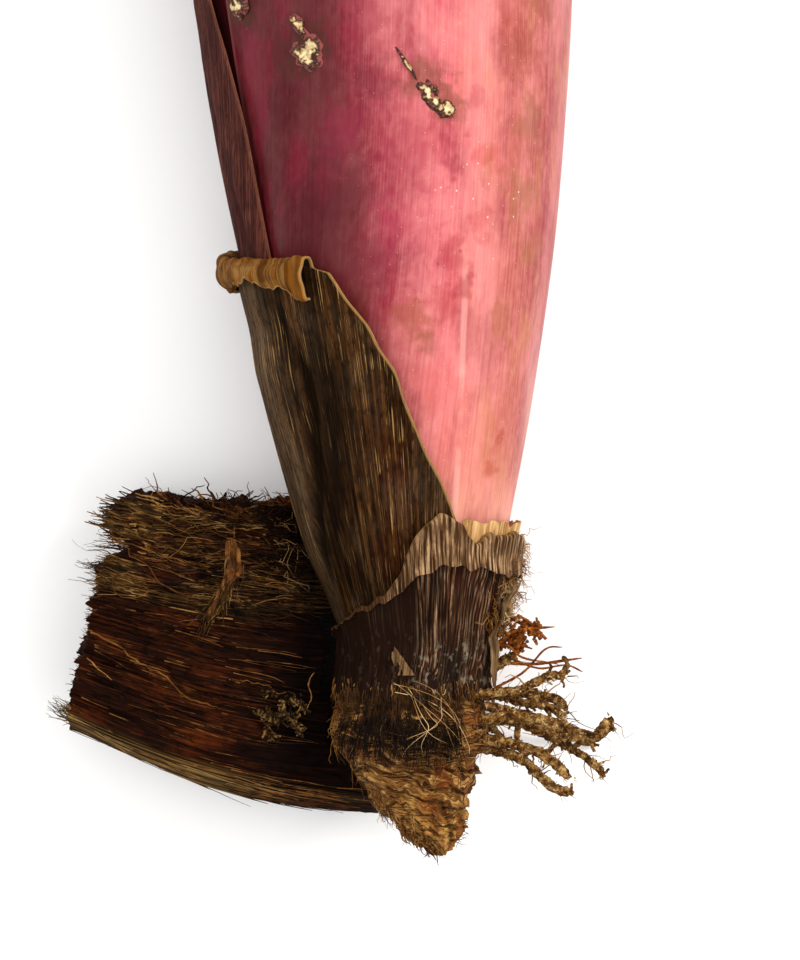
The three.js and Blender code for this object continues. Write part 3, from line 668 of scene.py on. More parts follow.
def live_leaf_finish(name, front):
    """Rosy sheath with fine nerves, turning green and banded on the blade.

    `front` adds the outer leaf's own marks.
    """
    f = Finish(name)
    length = node(f.tree, "ShaderNodeSeparateXYZ", {0: f.grain}).outputs[1]
    turn = math_of(f.tree, "FRACT", math_of(f.tree, "ADD", f.mark("turn"), 0.25))
    tube = f.band(length, 0.25, 0.19)
    # Painted light and shade round the tube: the leaf's own rose and maroon, painted lighter on the
    # upper right where the key light falls and dark maroon down the left, away from it. `lit` keeps
    # the pale overlays below to that lit side.
    lit = f.times(f.band(turn, 0.56, 0.47, 0.12, 1.0), tube)
    color = f.ramp(
        turn,
        [
            (0.0, paint(110, 32, 36)), (0.12, paint(146, 56, 56)), (0.33, paint(150, 58, 56)),
            (0.378, paint(164, 78, 68)), (0.417, paint(206, 116, 112)), (0.45, paint(188, 76, 86)),
            (0.48, paint(178, 80, 86)), (0.511, paint(138, 32, 50)), (0.54, paint(86, 6, 18)),
            (0.574, paint(74, 7, 15)), (0.68, paint(72, 12, 18)), (0.95, paint(76, 14, 20)),
            (1.0, paint(110, 32, 36))])
    color = f.over(color, f.band(length, 0.110, 0.048), paint(194, 108, 90), 0.80)
    color = f.over(color, f.band(length, 0.074, 0.050), paint(242, 182, 152), 0.8)
    blade = f.band(length, 0.20, 0.25)
    green = f.ramp(f.band(length, 0.20, 0.40), [
        (0.0, paint(132, 54, 52)), (0.35, paint(98, 62, 38)), (0.62, paint(66, 74, 30)),
        (0.93, paint(54, 76, 28)), (1.0, paint(84, 62, 26))])
    color = f.over(color, blade, green)
    haze = f.patches(110, 50, 0.42, 0.62)
    color = f.over(color, f.times(haze, lit), paint(226, 138, 136), 0.34)
    sallow = f.times(
        f.patches(190, 60, 0.50, 0.64, seed=17.0), f.times(f.band(turn, 0.49, 0.35), tube))
    color = f.over(color, sallow, paint(176, 116, 66), 0.42)
    flush = f.times(f.patches(150, 60, 0.46, 0.64, seed=3.0), tube)
    color = f.over(color, flush, paint(126, 10, 42), 0.44)
    mottle = f.times(f.patches(900, 420, 0.40, 0.66, seed=7.0), lit)
    color = f.over(color, mottle, paint(224, 146, 136), 0.18)
    bands = f.times(f.patches(7, 230, 0.50, 0.60, seed=9.0), blade)
    color = f.over(color, bands, paint(150, 156, 130), 0.40)
    nerves = f.times(f.lines(2600, 16, 0.42, 0.66), lit)
    color = f.over(color, nerves, paint(240, 168, 160), 0.12)
    shade = f.lines(3300, 30, 0.48, 0.68)
    color = f.over(color, shade, paint(110, 26, 44), 0.16)
    if front:
        # Painted highlight: a pale line along the keel ridge, where the ridge catches the light.
        keel = f.times(f.band(f.mark("keel"), 0.7, 0.1), f.band(length, 0.16, 0.10))
        keel = f.times(keel, f.patches(60, 90, 0.36, 0.60, seed=14.0))
        color = f.over(color, keel, paint(244, 186, 172), 0.36)
        for degrees, y, radius, tint, amount in LEAF_STAINS:
            stain = f.stain(plant_point(degrees, y), radius / 1000, 0.6)
            color = f.over(color, stain, paint(*tint), amount)
        freckles = f.specks(210, 0.10, 0.30)
        color = f.over(color, freckles, paint(128, 28, 50), 0.45)
        # Painted highlight: pale specks for the glints of water droplets in one patch.
        droplet_glints = f.times(f.stain(plant_point(62, 117), 0.012, 0.6), f.specks(1100, 0.24, 0.16))
        color = f.over(color, droplet_glints, paint(250, 214, 206), 0.7)
    scales = f.specks(1500, 0.2, 0.10)
    color = f.over(color, f.times(scales, lit), paint(246, 196, 180), 0.34)
    margin = f.band(f.mark("edge"), 1.1, 0.2)
    color = f.over(color, margin, paint(140, 84, 80), 0.40)
    inner = f.band(f.mark("outside"), 0.6, 0.4)
    color = f.over(color, inner, paint(120, 112, 72), 0.55)
    wet = f.patches(60, 30, 0.40, 0.64, seed=5.0)
    roughness = f.band(wet, 0.0, 1.0, 0.50, 0.34)
    height = f.lines(2600, 16, output="Height")
    return f.done(color, roughness, height, 0.00016, 0.3, Coat_Weight=0.03, Coat_Roughness=0.2,
                  Specular_IOR_Level=0.12)


def dry_finish(name, dark, middle, light, gold, haze, warm, inside, rim_amount):
    """Dead sheath tissue: nerves in several browns, grey haze, a paler rim, its own inner face."""
    f = Finish(name)
    turn = f.mark("turn")
    streaks = f.lines(900, 14, 0.34, 0.68, 5.0)
    color = f.ramp(streaks, [(0.0, dark), (0.5, middle), (1.0, light)])
    reddish = f.times(f.band(turn, 0.34, 0.24), f.patches(90, 40, 0.36, 0.56, seed=12.0))
    color = f.over(color, reddish, warm, 0.75)
    greys = math_of(f.tree, "ADD", f.times(f.patches(110, 50, 0.44, 0.62, seed=2.0), 0.35),
                    f.times(f.band(turn, 0.395, 0.42), 0.55))
    color = f.over(color, greys, haze)
    mottles = f.patches(420, 190, 0.44, 0.60, seed=21.0)
    color = f.over(color, mottles, light, 0.30)
    blots = f.patches(1000, 520, 0.50, 0.62, seed=23.0)
    color = f.over(color, blots, dark, 0.5)
    grooves = f.lines(2400, 26, 0.58, 0.42)
    color = f.over(color, grooves, dark, 0.6)
    gloom = f.patches(110, 36, 0.50, 0.64, seed=6.0)
    color = f.over(color, gloom, dark, 0.5)
    fine = f.times(f.lines(4200, 60, 0.56, 0.66), f.patches(420, 150, 0.46, 0.58, seed=15.0))
    color = f.over(color, fine, gold, 0.75)
    spots = f.specks(240, 0.16, 0.18)
    color = f.over(color, spots, dark, 0.7)
    # Painted shade: each piece's `gloom` mark (creases, the groove, inside the roll) is laid on in
    # the darkest brown.
    color = f.over(color, f.mark("gloom"), dark)
    inner = f.band(f.mark("outside"), 0.6, 0.4)
    tan = f.over(
        inside, f.patches(150, 150, 0.46, 0.60, seed=22.0), f.over(inside, 0.6, gold), 0.65)
    tan = f.over(tan, f.lines(1500, 22, 0.46, 0.64), gold, 0.4)
    tan = f.over(tan, f.lines(1900, 30, 0.56, 0.42), dark, 0.45)
    tan = f.over(tan, f.patches(420, 240, 0.48, 0.62, seed=4.0), middle, 0.5)
    color = f.over(color, inner, tan)
    rim = f.band(f.mark("edge"), 0.5, 0.175)
    color = f.over(color, rim, gold, rim_amount)
    height = f.lines(2400, 24, output="Height")
    return f.done(color, 0.75, height, 0.0005, 1.0, Specular_IOR_Level=0.03)


def ribbed_finish():
    """The basal sheath: dark between pale ribs, mouldy at its foot, tan on the folded collar."""
    f = Finish("basal_sheath")
    rib = f.mark("rib")
    hairs = f.lines(2700, 110, 0.34, 0.62, 5.0)
    broken = f.times(
        f.times(f.band(rib, 0.20, 0.85), hairs), f.patches(900, 330, 0.22, 0.48, seed=11.0))
    color = f.ramp(
        broken, [(0.0, paint(18, 7, 3)), (0.45, paint(82, 52, 32)), (1.0, paint(168, 132, 100))])
    brown = f.patches(160, 70, 0.44, 0.62)
    color = f.over(color, brown, paint(50, 22, 9), 0.6)
    fine = f.times(f.lines(3600, 60, 0.52, 0.66), f.patches(260, 120, 0.36, 0.56, seed=24.0))
    color = f.over(color, fine, paint(146, 120, 92), 0.55)
    foot = f.mark("foot")
    soot = f.times(f.patches(190, 130, 0.42, 0.56, seed=1.0), foot)
    color = f.over(color, soot, paint(24, 16, 11), 0.75)
    mould = f.times(f.patches(800, 480, 0.55, 0.64, seed=8.0), foot)
    color = f.over(color, mould, paint(136, 124, 104), 0.6)
    # Painted shade from the `gloom` mark, on the outer face.
    color = f.over(color, f.mark("gloom"), paint(24, 9, 3))
    inner = f.band(f.mark("outside"), 0.6, 0.4)
    furrows = math_of(f.tree, "ADD", f.times(rib, 0.30), f.times(hairs, 0.70))
    tan = f.ramp(
        furrows, [(0.25, paint(36, 20, 9)), (0.5, paint(98, 68, 42)), (0.8, paint(168, 134, 98))])
    tan = f.over(tan, f.patches(300, 200, 0.42, 0.56, seed=5.0), paint(62, 38, 18), 0.6)
    # The same painted shade on the collar's folded-out face.
    tan = f.over(tan, f.mark("gloom"), paint(54, 31, 12))
    color = f.over(color, inner, tan)
    # Painted highlight: a golden line along the collar's fold crest, where it catches the light.
    rim = f.band(f.mark("edge"), 1.1, 0.1)
    color = f.over(color, rim, paint(146, 108, 44), 0.75)
    height = f.lines(2600, 40, output="Height")
    return f.done(color, 0.7, height, 0.0003, 0.8, Specular_IOR_Level=0.04)


def paper_finish(name, pale, middle, dark):
    f = Finish(name)
    color = f.ramp(f.lines(2000, 90, 0.30, 0.72, 5.0), [(0.0, dark), (0.45, middle), (1.0, pale)])
    color = f.over(color, f.patches(260, 200, 0.5, 0.62, seed=3.0), dark, 0.55)
    height = f.lines(1800, 60, output="Height")
    return f.done(color, 0.75, height, 0.0004, 0.8, Specular_IOR_Level=0.1)


def rough_finish(name, stops, scale, speck=None):
    """Earthy stuff, such as bark, crust or corky rind, patterned through its volume."""
    f = Finish(name)
    broad = node(
        f.tree, "ShaderNodeTexNoise",
        {"Vector": f.place, "Scale": scale, "Detail": 6.0, "Roughness": 0.62})
    color = f.ramp(f.band(broad.outputs[0], 0.28, 0.72), stops)
    fine = node(
        f.tree, "ShaderNodeTexNoise", {"Vector": f.place, "Scale": scale * 5, "Detail": 4.0})
    color = f.over(color, f.band(fine.outputs[0], 0.52, 0.42), stops[0][1], 0.6)
    if speck:
        color = f.over(color, f.specks(scale * 3.2, 0.34, 0.4), speck, 0.75)
    return f.done(color, 0.85, fine.outputs[0], 0.0006, 0.8, Specular_IOR_Level=0.08)


def corm_finish():
    """Torn fibrous scales, dark above and ochre towards the tip, with fibres running round."""
    f = Finish("corm")
    length = node(f.tree, "ShaderNodeSeparateXYZ", {0: f.grain}).outputs[1]
    round_grain = stretch(f.tree, f.grain, 240.0, 1700.0, 0.0)
    noise = node(
        f.tree, "ShaderNodeTexNoise",
        {"Vector": round_grain, "Scale": 1.0, "Detail": 6.0, "Distortion": 1.3})
    fibres = f.band(noise.outputs[0], 0.34, 0.66)
    color = f.ramp(
        fibres,
        [
            (0.0, paint(34, 16, 5)), (0.4, paint(86, 50, 18)), (0.7, paint(128, 84, 36)),
            (1.0, paint(184, 140, 80))])
    pale = f.times(f.band(length, 0.016, 0.004), f.patches(240, 240, 0.36, 0.60, seed=2.0))
    color = f.over(color, pale, paint(204, 150, 76), 0.8)
    rust = f.patches(170, 120, 0.48, 0.62, seed=5.0)
    color = f.over(color, rust, paint(116, 52, 10), 0.65)
    dark = f.times(f.band(length, 0.010, 0.026), f.patches(130, 130, 0.34, 0.56, seed=7.0))
    color = f.over(color, dark, paint(30, 15, 7), 0.6)
    # Painted shade: the `under` mark darkens the crevice under each scale's edge.
    color = f.over(color, f.mark("under"), paint(24, 11, 4))
    return f.done(color, 0.75, noise.outputs[0], 0.0007, 0.9, Specular_IOR_Level=0.08)


def strand_finish(name, stops, roughness=0.8, shine=0.08):
    """Loose fibres, each a little different in colour."""
    f = Finish(name)
    noise = node(f.tree, "ShaderNodeTexNoise", {"Vector": f.place, "Scale": 420, "Detail": 3.0})
    local = f.band(noise.outputs[0], 0.3, 0.7, -0.22, 0.22)
    value = math_of(f.tree, "ADD", f.mark("kind"), local, clamp=True)
    return f.done(f.ramp(value, stops), roughness, Specular_IOR_Level=shine)


def husk_finish():
    f = Finish("husk_face")
    grain = f.lines(2000, 75, 0.30, 0.70, 5.0)
    color = f.ramp(
        grain,
        [
            (0.0, paint(8, 2, 1)), (0.4, paint(30, 9, 2)), (0.75, paint(54, 20, 5)),
            (1.0, paint(90, 44, 12))])
    orange = f.patches(260, 110, 0.50, 0.64)
    color = f.over(color, orange, paint(88, 36, 7), 0.45)
    wet = f.patches(110, 60, 0.46, 0.60, seed=4.0)
    color = f.over(color, wet, paint(18, 5, 2), 0.75)
    threads = f.lines(4600, 90, 0.62, 0.72)
    color = f.over(color, threads, paint(120, 70, 28), 0.25)
    flecks = f.patches(1100, 500, 0.52, 0.62, seed=25.0)
    color = f.over(color, flecks, paint(6, 2, 1), 0.55)
    skin = f.ramp(f.lines(3000, 34, 0.35, 0.66), [
        (0.0, paint(16, 8, 3)), (0.5, paint(54, 35, 13)), (1.0, paint(132, 100, 52))])
    color = f.over(color, f.mark("skin"), skin)
    # Painted shade: the `gloom` mark darkens the husk towards the plant's end to near black.
    color = f.over(color, f.mark("gloom"), paint(8, 3, 2))
    height = f.lines(2000, 75, output="Height")
    return f.done(color, 0.85, height, 0.0008, 1.0, Specular_IOR_Level=0.05)


FINISHES = {
    "front_leaf": live_leaf_finish("front_leaf", True),
    "live_leaf": live_leaf_finish("live_leaf", False),
    "big_sheath": dry_finish(
        "big_sheath", dark=paint(12, 5, 1), middle=paint(42, 21, 7), light=paint(92, 58, 26),
        gold=paint(176, 134, 78), haze=paint(102, 80, 58), warm=paint(60, 17, 3),
        inside=paint(118, 68, 12), rim_amount=0.6),
    "outer_dry_leaf": dry_finish(
        "outer_dry_leaf", dark=paint(40, 14, 12), middle=paint(78, 34, 28),
        light=paint(106, 56, 44), gold=paint(136, 86, 66), haze=paint(84, 48, 40),
        warm=paint(72, 22, 20), inside=paint(112, 48, 24), rim_amount=0.3),
    "basal_sheath": ribbed_finish(),
    "cream_paper": paper_finish(
        "cream_paper", paint(218, 180, 128), paint(190, 146, 92), paint(128, 86, 46)),
    "tan_paper": paper_finish(
        "tan_paper", paint(138, 110, 74), paint(100, 72, 42), paint(46, 28, 13)),
    "bark_strip": paper_finish(
        "bark_strip", paint(132, 86, 36), paint(82, 46, 14), paint(28, 12, 3)),
    "stem_core": rough_finish(
        "stem_core", [(0, paint(150, 148, 96)), (1, paint(206, 198, 150))], 120),
    "corm": corm_finish(),
    "root_bark": rough_finish(
        "root_bark",
        [
            (0, paint(30, 15, 5)), (0.35, paint(88, 54, 22)), (0.65, paint(142, 100, 50)),
            (1, paint(208, 170, 108))],
        620, speck=paint(168, 138, 88)),
    "rusty_root": rough_finish(
        "rusty_root", [(0, paint(74, 30, 8)), (0.5, paint(140, 74, 24)), (1, paint(190, 118, 50))],
        700),
    "husk": husk_finish(),
    "husk_strand": strand_finish(
        "husk_strand",
        [
            (0, paint(14, 5, 2)), (0.5, paint(42, 18, 6)), (0.85, paint(80, 44, 16)),
            (1, paint(118, 76, 34))]),
    "husk_fray": strand_finish(
        "husk_fray",
        [
            (0, paint(18, 9, 3)), (0.45, paint(52, 32, 11)), (0.8, paint(92, 62, 26)),
            (1, paint(142, 106, 58))]),
    "husk_skin": strand_finish(
        "husk_skin", [(0, paint(24, 14, 5)), (0.5, paint(66, 44, 17)), (1, paint(150, 116, 64))]),
    "pale_fibre": strand_finish(
        "pale_fibre",
        [(0, paint(120, 84, 46)), (0.5, paint(176, 138, 88)), (1, paint(222, 194, 146))]),
    "straw_hair": strand_finish(
        "straw_hair",
        [(0, paint(110, 70, 28)), (0.5, paint(164, 118, 62)), (1, paint(222, 188, 132))], 0.5,
        shine=0.2),
    "black_hair": strand_finish(
        "black_hair", [(0, paint(10, 5, 2)), (0.6, paint(30, 17, 8)), (1, paint(78, 50, 24))], 0.6,
        shine=0.08),
    "brown_hair": strand_finish(
        "brown_hair", [(0, paint(54, 28, 10)), (0.5, paint(108, 66, 26)), (1, paint(168, 120, 62))],
        0.6),
    "root_lichen": strand_finish(
        "root_lichen",
        [(0, paint(70, 48, 20)), (0.5, paint(132, 102, 56)), (1, paint(204, 174, 120))]),
    "moss": strand_finish(
        "moss", [(0, paint(16, 9, 3)), (0.5, paint(48, 32, 12)), (1, paint(118, 86, 46))], 0.9),
    "spine": strand_finish("spine", [(0, paint(70, 40, 24)), (1, paint(150, 96, 60))], 0.5),
}


# ---------- live leaves ----------
LEAVES = [
    dict(theta=45, span=102, depart=196, blade=150, half=27, bend=88, heading=52),
    dict(theta=200, span=95, depart=200, blade=152, half=26, bend=62, heading=181),
    dict(theta=322, span=95, depart=206, blade=148, half=26, bend=56, heading=357),
    dict(theta=95, span=92, depart=222, blade=140, half=25, bend=74, heading=98),
    dict(theta=238, span=90, depart=226, blade=138, half=24, bend=30, heading=192),
    dict(theta=15, span=88, depart=236, blade=132, half=23, bend=58, heading=18),
    dict(theta=150, span=86, depart=242, blade=126, half=22, bend=52, heading=150),
    dict(theta=290, span=84, depart=248, blade=118, half=20, bend=22, heading=330),
]
FRONT_COLUMNS, HIDDEN_COLUMNS, TUBE_ROWS, BLADE_ROWS = 150, 54, 64, 52
SPINES_PER_EDGE = 46
CLASP, OPENING_Y, DEPART_SPAN, BLADE_CURVE_R, TIP_HALF_WIDTH = 128, 168, 58, 48, 0.8
FLOOR_CLEARANCE, PRESS_SOFTNESS, LOWEST_LAYER = 0.05, 1.0, 1
KEEL_THETA = 65.5


def pressed(z, floor):
    return floor + PRESS_SOFTNESS * np.log1p(np.exp((z - floor) / PRESS_SOFTNESS))


def leaf_sheet(layer, columns):
    """A live leaf's middle surface in metres, and where each point is on it in millimetres."""
    leaf = LEAVES[layer]
    share = np.linspace(-1, 1, columns)
    base = NECK_Y + layer * LEAF_STEP_Y
    facing, heading = turned(np.float64(leaf["theta"])), turned(np.float64(leaf["heading"]))
    up = np.array([0.0, 1.0, 0.0])

    y = np.linspace(base, leaf["depart"], TUBE_ROWS)
    r = live_radius(layer, y)
    span = mix(CLASP, leaf["span"], smoothstep(base, base + 20, y))
    span = mix(span, DEPART_SPAN, smoothstep(OPENING_Y, leaf["depart"], y))
    w = r * np.radians(span)
    midrib = facing * r[:, None] + up * y[:, None]
    out = np.broadcast_to(facing, midrib.shape)
    rise = np.broadcast_to(up, midrib.shape)
    length = y

    steps = BLADE_ROWS
    t = np.arange(1, steps + 1) / steps
    bend = math.radians(leaf["bend"])

    def lean(angle):
        return up * np.cos(angle)[:, None] + heading * np.sin(angle)[:, None]

    path = np.cumsum(
        lean(bend * ((np.arange(steps) + 0.5) / steps) ** 1.5) * leaf["blade"] / steps, axis=0)
    turn = bend * t ** 1.5
    hinge = np.cross(up, heading)
    toward, beside = facing @ heading, facing @ hinge
    blade_out = (
        (heading * np.cos(turn)[:, None] - up * np.sin(turn)[:, None]) * toward + hinge * beside)
    taper = (1 - t ** 2.4) ** 0.75
    blade_w = np.maximum(mix(w[-1], leaf["half"], smoothstep(0, 0.35, t)) * taper, TIP_HALF_WIDTH)
    blade_r = mix(r[-1], BLADE_CURVE_R, smoothstep(0, 0.6, t))

    midrib = np.concatenate([midrib, midrib[-1] + path])
    out = np.concatenate([out, blade_out])
    rise = np.concatenate([rise, lean(turn)])
    r, w = np.concatenate([r, blade_r]), np.concatenate([w, blade_w])
    length = np.concatenate([length, leaf["depart"] + t * leaf["blade"]])
    side = -np.cross(rise, out)
    across = share[None, :] * w[:, None]
    angle = across / r[:, None]
    reach, drop = r[:, None] * np.sin(angle), r[:, None] * (np.cos(angle) - 1)
    points = midrib[:, None] + out[:, None] * drop[..., None] + side[:, None] * reach[..., None]

    free = smoothstep(leaf["depart"] - 20, leaf["depart"] + 60, length)[:, None]
    ripple = 0.9 * np.sin(
        length[:, None] / 8.5 + 2.0 * layer + 3 * (share > 0)) * np.abs(share) ** 4 * free
    crease = -0.5 * np.exp(-(share / 0.10) ** 2) * free
    points += out[:, None] * (ripple + crease)[..., None]
    placed_points = placed(points)
    floor = FLOOR_CLEARANCE + LEAF_THICKNESS / 2 + max(layer - LOWEST_LAYER, 0) * LEAF_PITCH
    placed_points[..., 2] = pressed(placed_points[..., 2] * 1000, floor) / 1000
    return placed_points, across, np.broadcast_to(length[:, None], across.shape), share, side, w


def live_leaf(layer):
    columns = FRONT_COLUMNS if layer == 0 else HIDDEN_COLUMNS
    middle, across, length, share, side, w = leaf_sheet(layer, columns)
    leaf = LEAVES[layer]
    angle = (
        leaf["theta"] + np.degrees(across / live_radius(layer, np.minimum(length, leaf["depart"]))))
    turn = angle / 360
    if layer == 0:
        off_keel = np.abs(angle - KEEL_THETA) * np.radians(1) * live_radius(0, length)
        normal = unit(np.cross(np.gradient(middle, axis=0), np.gradient(middle, axis=1)))
        fades = smoothstep(196, 150, length)
        middle = middle + normal * (0.22 * np.exp(-(off_keel / 0.7) ** 2) * fades)[..., None] / 1000
        middle = middle + normal * (0.10 * ripples(across / 5, length / 30, 5))[..., None] / 1000
    else:
        off_keel = np.full(across.shape, 9.0)
    blade = smoothstep(leaf["depart"], leaf["depart"] + leaf["blade"], length)
    thickness = mix(LEAF_THICKNESS, BLADE_THICKNESS, blade) * (1 - 0.62 * np.abs(share) ** 3)
    finish = FINISHES["front_leaf" if layer == 0 else "live_leaf"]
    name = f"live_leaf_{layer + 1}"
    edge = (1 - np.abs(share)) * w[:, None]
    marks = {"turn": turn, "keel": off_keel, "edge": edge}
    piece = shell_piece(name, middle, thickness, finish, across, length, marks)
    show(piece, "live_leaf", f"leaf_{layer + 1}")
    return middle, length, side


def margin_spines(margins):
    """Short hooked teeth along both margins of every blade."""
    points, grow = [], []
    random = np.random.default_rng(11)
    for layer, (middle, length, side) in enumerate(margins):
        depart = LEAVES[layer]["depart"]
        rows = np.nonzero(length[:, 0] > depart - 6)[0][:-2]
        step = np.linspace(rows[0], rows[-1], SPINES_PER_EDGE)
        for column, sign in ((0, -1), (-1, 1)):
            edge = middle[:, column]
            at = np.stack([np.interp(step, np.arange(len(edge)), edge[:, k]) for k in range(3)], -1)
            rise = unit(np.gradient(at, axis=0))
            outward = np.stack(
                [np.interp(step, np.arange(len(side)), side[:, k]) for k in range(3)], -1) * sign
            points.append(at)
            grow.append(outward + rise * random.uniform(0.5, 1.0, (len(at), 1)))
    points, grow = np.concatenate(points), np.concatenate(grow)
    piece = fibre_piece("margin_spines", points, grow, random.uniform(0.7, 1.3, len(points)), 0.22,
                        FINISHES["spine"], bow=0.05, steps=4, sides=5, tip=0.08, seed=3)
    show(piece, "live_leaf")


margin_spines([live_leaf(layer) for layer in range(len(LEAVES))])


# ---------- corky scars on the outer leaf ----------
SCARS = [
    dict(degrees=140, y=150.3, long=5.6, wide=4.4, tilt=0.3, seed=21),
    dict(degrees=115.0, y=140.8, long=5.8, wide=6.4, tilt=-0.5, seed=22),
    dict(degrees=117.5, y=145.6, long=4.8, wide=2.4, tilt=0.5, seed=23),
    dict(degrees=84.5, y=138.6, long=7.0, wide=0.9, tilt=0.56, seed=24),
    dict(degrees=77.4, y=133.6, long=6.4, wide=4.2, tilt=0.55, seed=25),
    dict(degrees=72.8, y=131.2, long=3.4, wide=4.0, tilt=0.2, seed=26),
]


def scar_finish():
    f = Finish("scar")
    share = f.mark("share")
    noise = node(f.tree, "ShaderNodeTexNoise", {"Vector": f.place, "Scale": 900.0, "Detail": 4.0})
    wander = math_of(f.tree, "ADD", share, f.band(noise.outputs[0], 0.3, 0.7, -0.42, 0.42))
    color = f.ramp(wander, [
        (0.0, paint(226, 204, 158)), (0.30, paint(184, 156, 108)), (0.46, paint(104, 74, 44)),
        (0.62, paint(44, 24, 15)), (0.84, paint(66, 32, 22)), (1.0, paint(128, 58, 54))])
    return f.done(color, 0.7, noise.outputs[0], 0.0004, 0.7, Specular_IOR_Level=0.3)


def scar(finish, number, degrees, y, long, wide, tilt, seed):
    """A ragged crust with a raised dark rim and a pale sunken middle, let into the leaf."""
    rings, spokes = 16, 44
    share = np.linspace(0, 1, rings)[:, None]
    around = np.linspace(0, 2 * math.pi, spokes, endpoint=False)[None, :]
    circle = np.stack([np.cos(around[0]), np.sin(around[0])], -1)
    outline = 1 + 0.20 * waves(circle, 0.8, seed) + 0.10 * waves(circle, 0.25, seed + 9)
    a = share * np.cos(around) * wide / 2 * outline
    b = share * np.sin(around) * long / 2 * outline
    dx, dy = a * math.cos(tilt) + b * math.sin(tilt), b * math.cos(tilt) - a * math.sin(tilt)
    lumps = ripples(dx, dy, seed + 50, size=1.1)
    dome = (
        0.5 * np.exp(-((share - 0.62) / 0.2) ** 2) + 0.30 * (1 - share ** 2)
        + 0.20 * lumps * (1 - share ** 3))
    layers = []
    for height in (dome * (1 - share ** 6) - 0.06, -0.45 * (1 - share ** 4) - 0.06):
        row = y + dy
        r = tube_radius(row) + height
        layers.append(placed(about_axis(r, degrees + np.degrees(dx / tube_radius(y)), row)))
    crust, base = layers[0][1:][::-1], layers[1][1:-1]
    points = np.concatenate(
        [crust.reshape(-1, 3), base.reshape(-1, 3), [layers[0][0, 0], layers[1][0, 0]]])
    shares = np.concatenate(
        [np.repeat(share[1:][::-1], spokes), np.repeat(share[1:-1], spokes), [0, 0]])
    crown, foot = len(points) - 2, len(points) - 1
    last, below = (len(crust) - 1) * spokes, len(crust) * spokes
    outer = below + (len(base) - 1) * spokes
    pairs = [(k, (k + 1) % spokes) for k in range(spokes)]
    faces = [(a, d, c, b) for a, b, c, d in grid_faces(len(crust), spokes, closed=True)]
    faces += [(last + k, last + n, crown) for k, n in pairs]
    faces += grid_faces(len(base), spokes, below, closed=True)
    faces += [(below + n, below + k, foot) for k, n in pairs]
    faces += [(k, outer + k, outer + n, n) for k, n in pairs]
    piece = mesh_piece(f"scar_{number}", points, faces, finish, marks={"share": shares})
    fix_normals(piece)
    show(piece, "live_leaf")


SCAR_FINISH = scar_finish()
for number, values in enumerate(SCARS, 1):
    scar(SCAR_FINISH, number, **values)


# ---------- dry leaves and sheaths ----------
OUTER_LEAF = dict(base=42, depart=214, top=262, start=158, end=226, wither=20)


def outer_dry_leaf():
    o = OUTER_LEAF
    rows, columns = 150, 60
    t, u = np.linspace(0, 1, rows)[:, None], np.linspace(0, 1, columns)[None, :]
    y = mix(o["base"], o["top"], t)
    withered = smoothstep(o["depart"] - 30, o["top"], y)
    half = (o["end"] - o["start"]) / 2 * (1 - 0.8 * withered)
    wider = 15 * smoothstep(60, 90, y) * smoothstep(175, 125, y)
    degrees = (o["start"] + o["end"]) / 2 + half * (2 * u - 1) - wider * (1 - u)
    r = dry_radius(1, y) + o["wither"] * withered ** 2
    margin = np.maximum(1 - u / 0.22, 0)
    r = r + 0.9 * margin ** 2 * smoothstep(110, 160, y)
    crease = np.exp(-((u - mix(0.34, 0.12, smoothstep(150, 90, y))) / 0.035) ** 2)
    r = r - 0.3 * crease * smoothstep(70, 110, y)
    nerves = ripples(degrees / 1.3, y / 40, 32)
    crumple = ripples(degrees / 9, y / 34, 31)
    r = r + (0.12 + 1.1 * withered) * np.maximum(crumple, -0.3) + 0.06 * nerves
    shape = (rows, columns)
    middle = placed(about_axis(np.broadcast_to(r, shape), np.broadcast_to(degrees, shape),
                               np.broadcast_to(y, shape)))
    across = np.radians(degrees) * tube_radius(y)
    edge = np.minimum(u, 1 - u) * 40
    # Painted shade: a dark line along the crease, in the `gloom` mark.
    gloom = 0.55 * crease * smoothstep(60, 100, y)
    piece = shell_piece("outer_dry_leaf", middle, 0.42, FINISHES["outer_dry_leaf"], across, y,
                        {"edge": edge, "gloom": gloom, "turn": 0.35})
    show(piece, "dry_leaf", "dry_outer_leaf")


SHEATH_GRAIN_R, BASAL_GRAIN_R, SCRAP_GRAIN_R = 26, 15.5, 15
BIG_SHEATH = dict(base=NECK_Y, top=106.5, back=206)
# Pairs of a height and the angle that the sheath's torn edge reaches there.
BIG_SHEATH_EDGE = [
    (40, 45), (50, 54), (60.5, 67), (68, 76.5), (75, 85), (82, 91), (89.5, 96.5), (96.6, 102),
    (102.3, 109), (106.5, 114)]
ROLL = dict(out=2.1, up=3.3, turn=285, edge=7, slant=3.4)


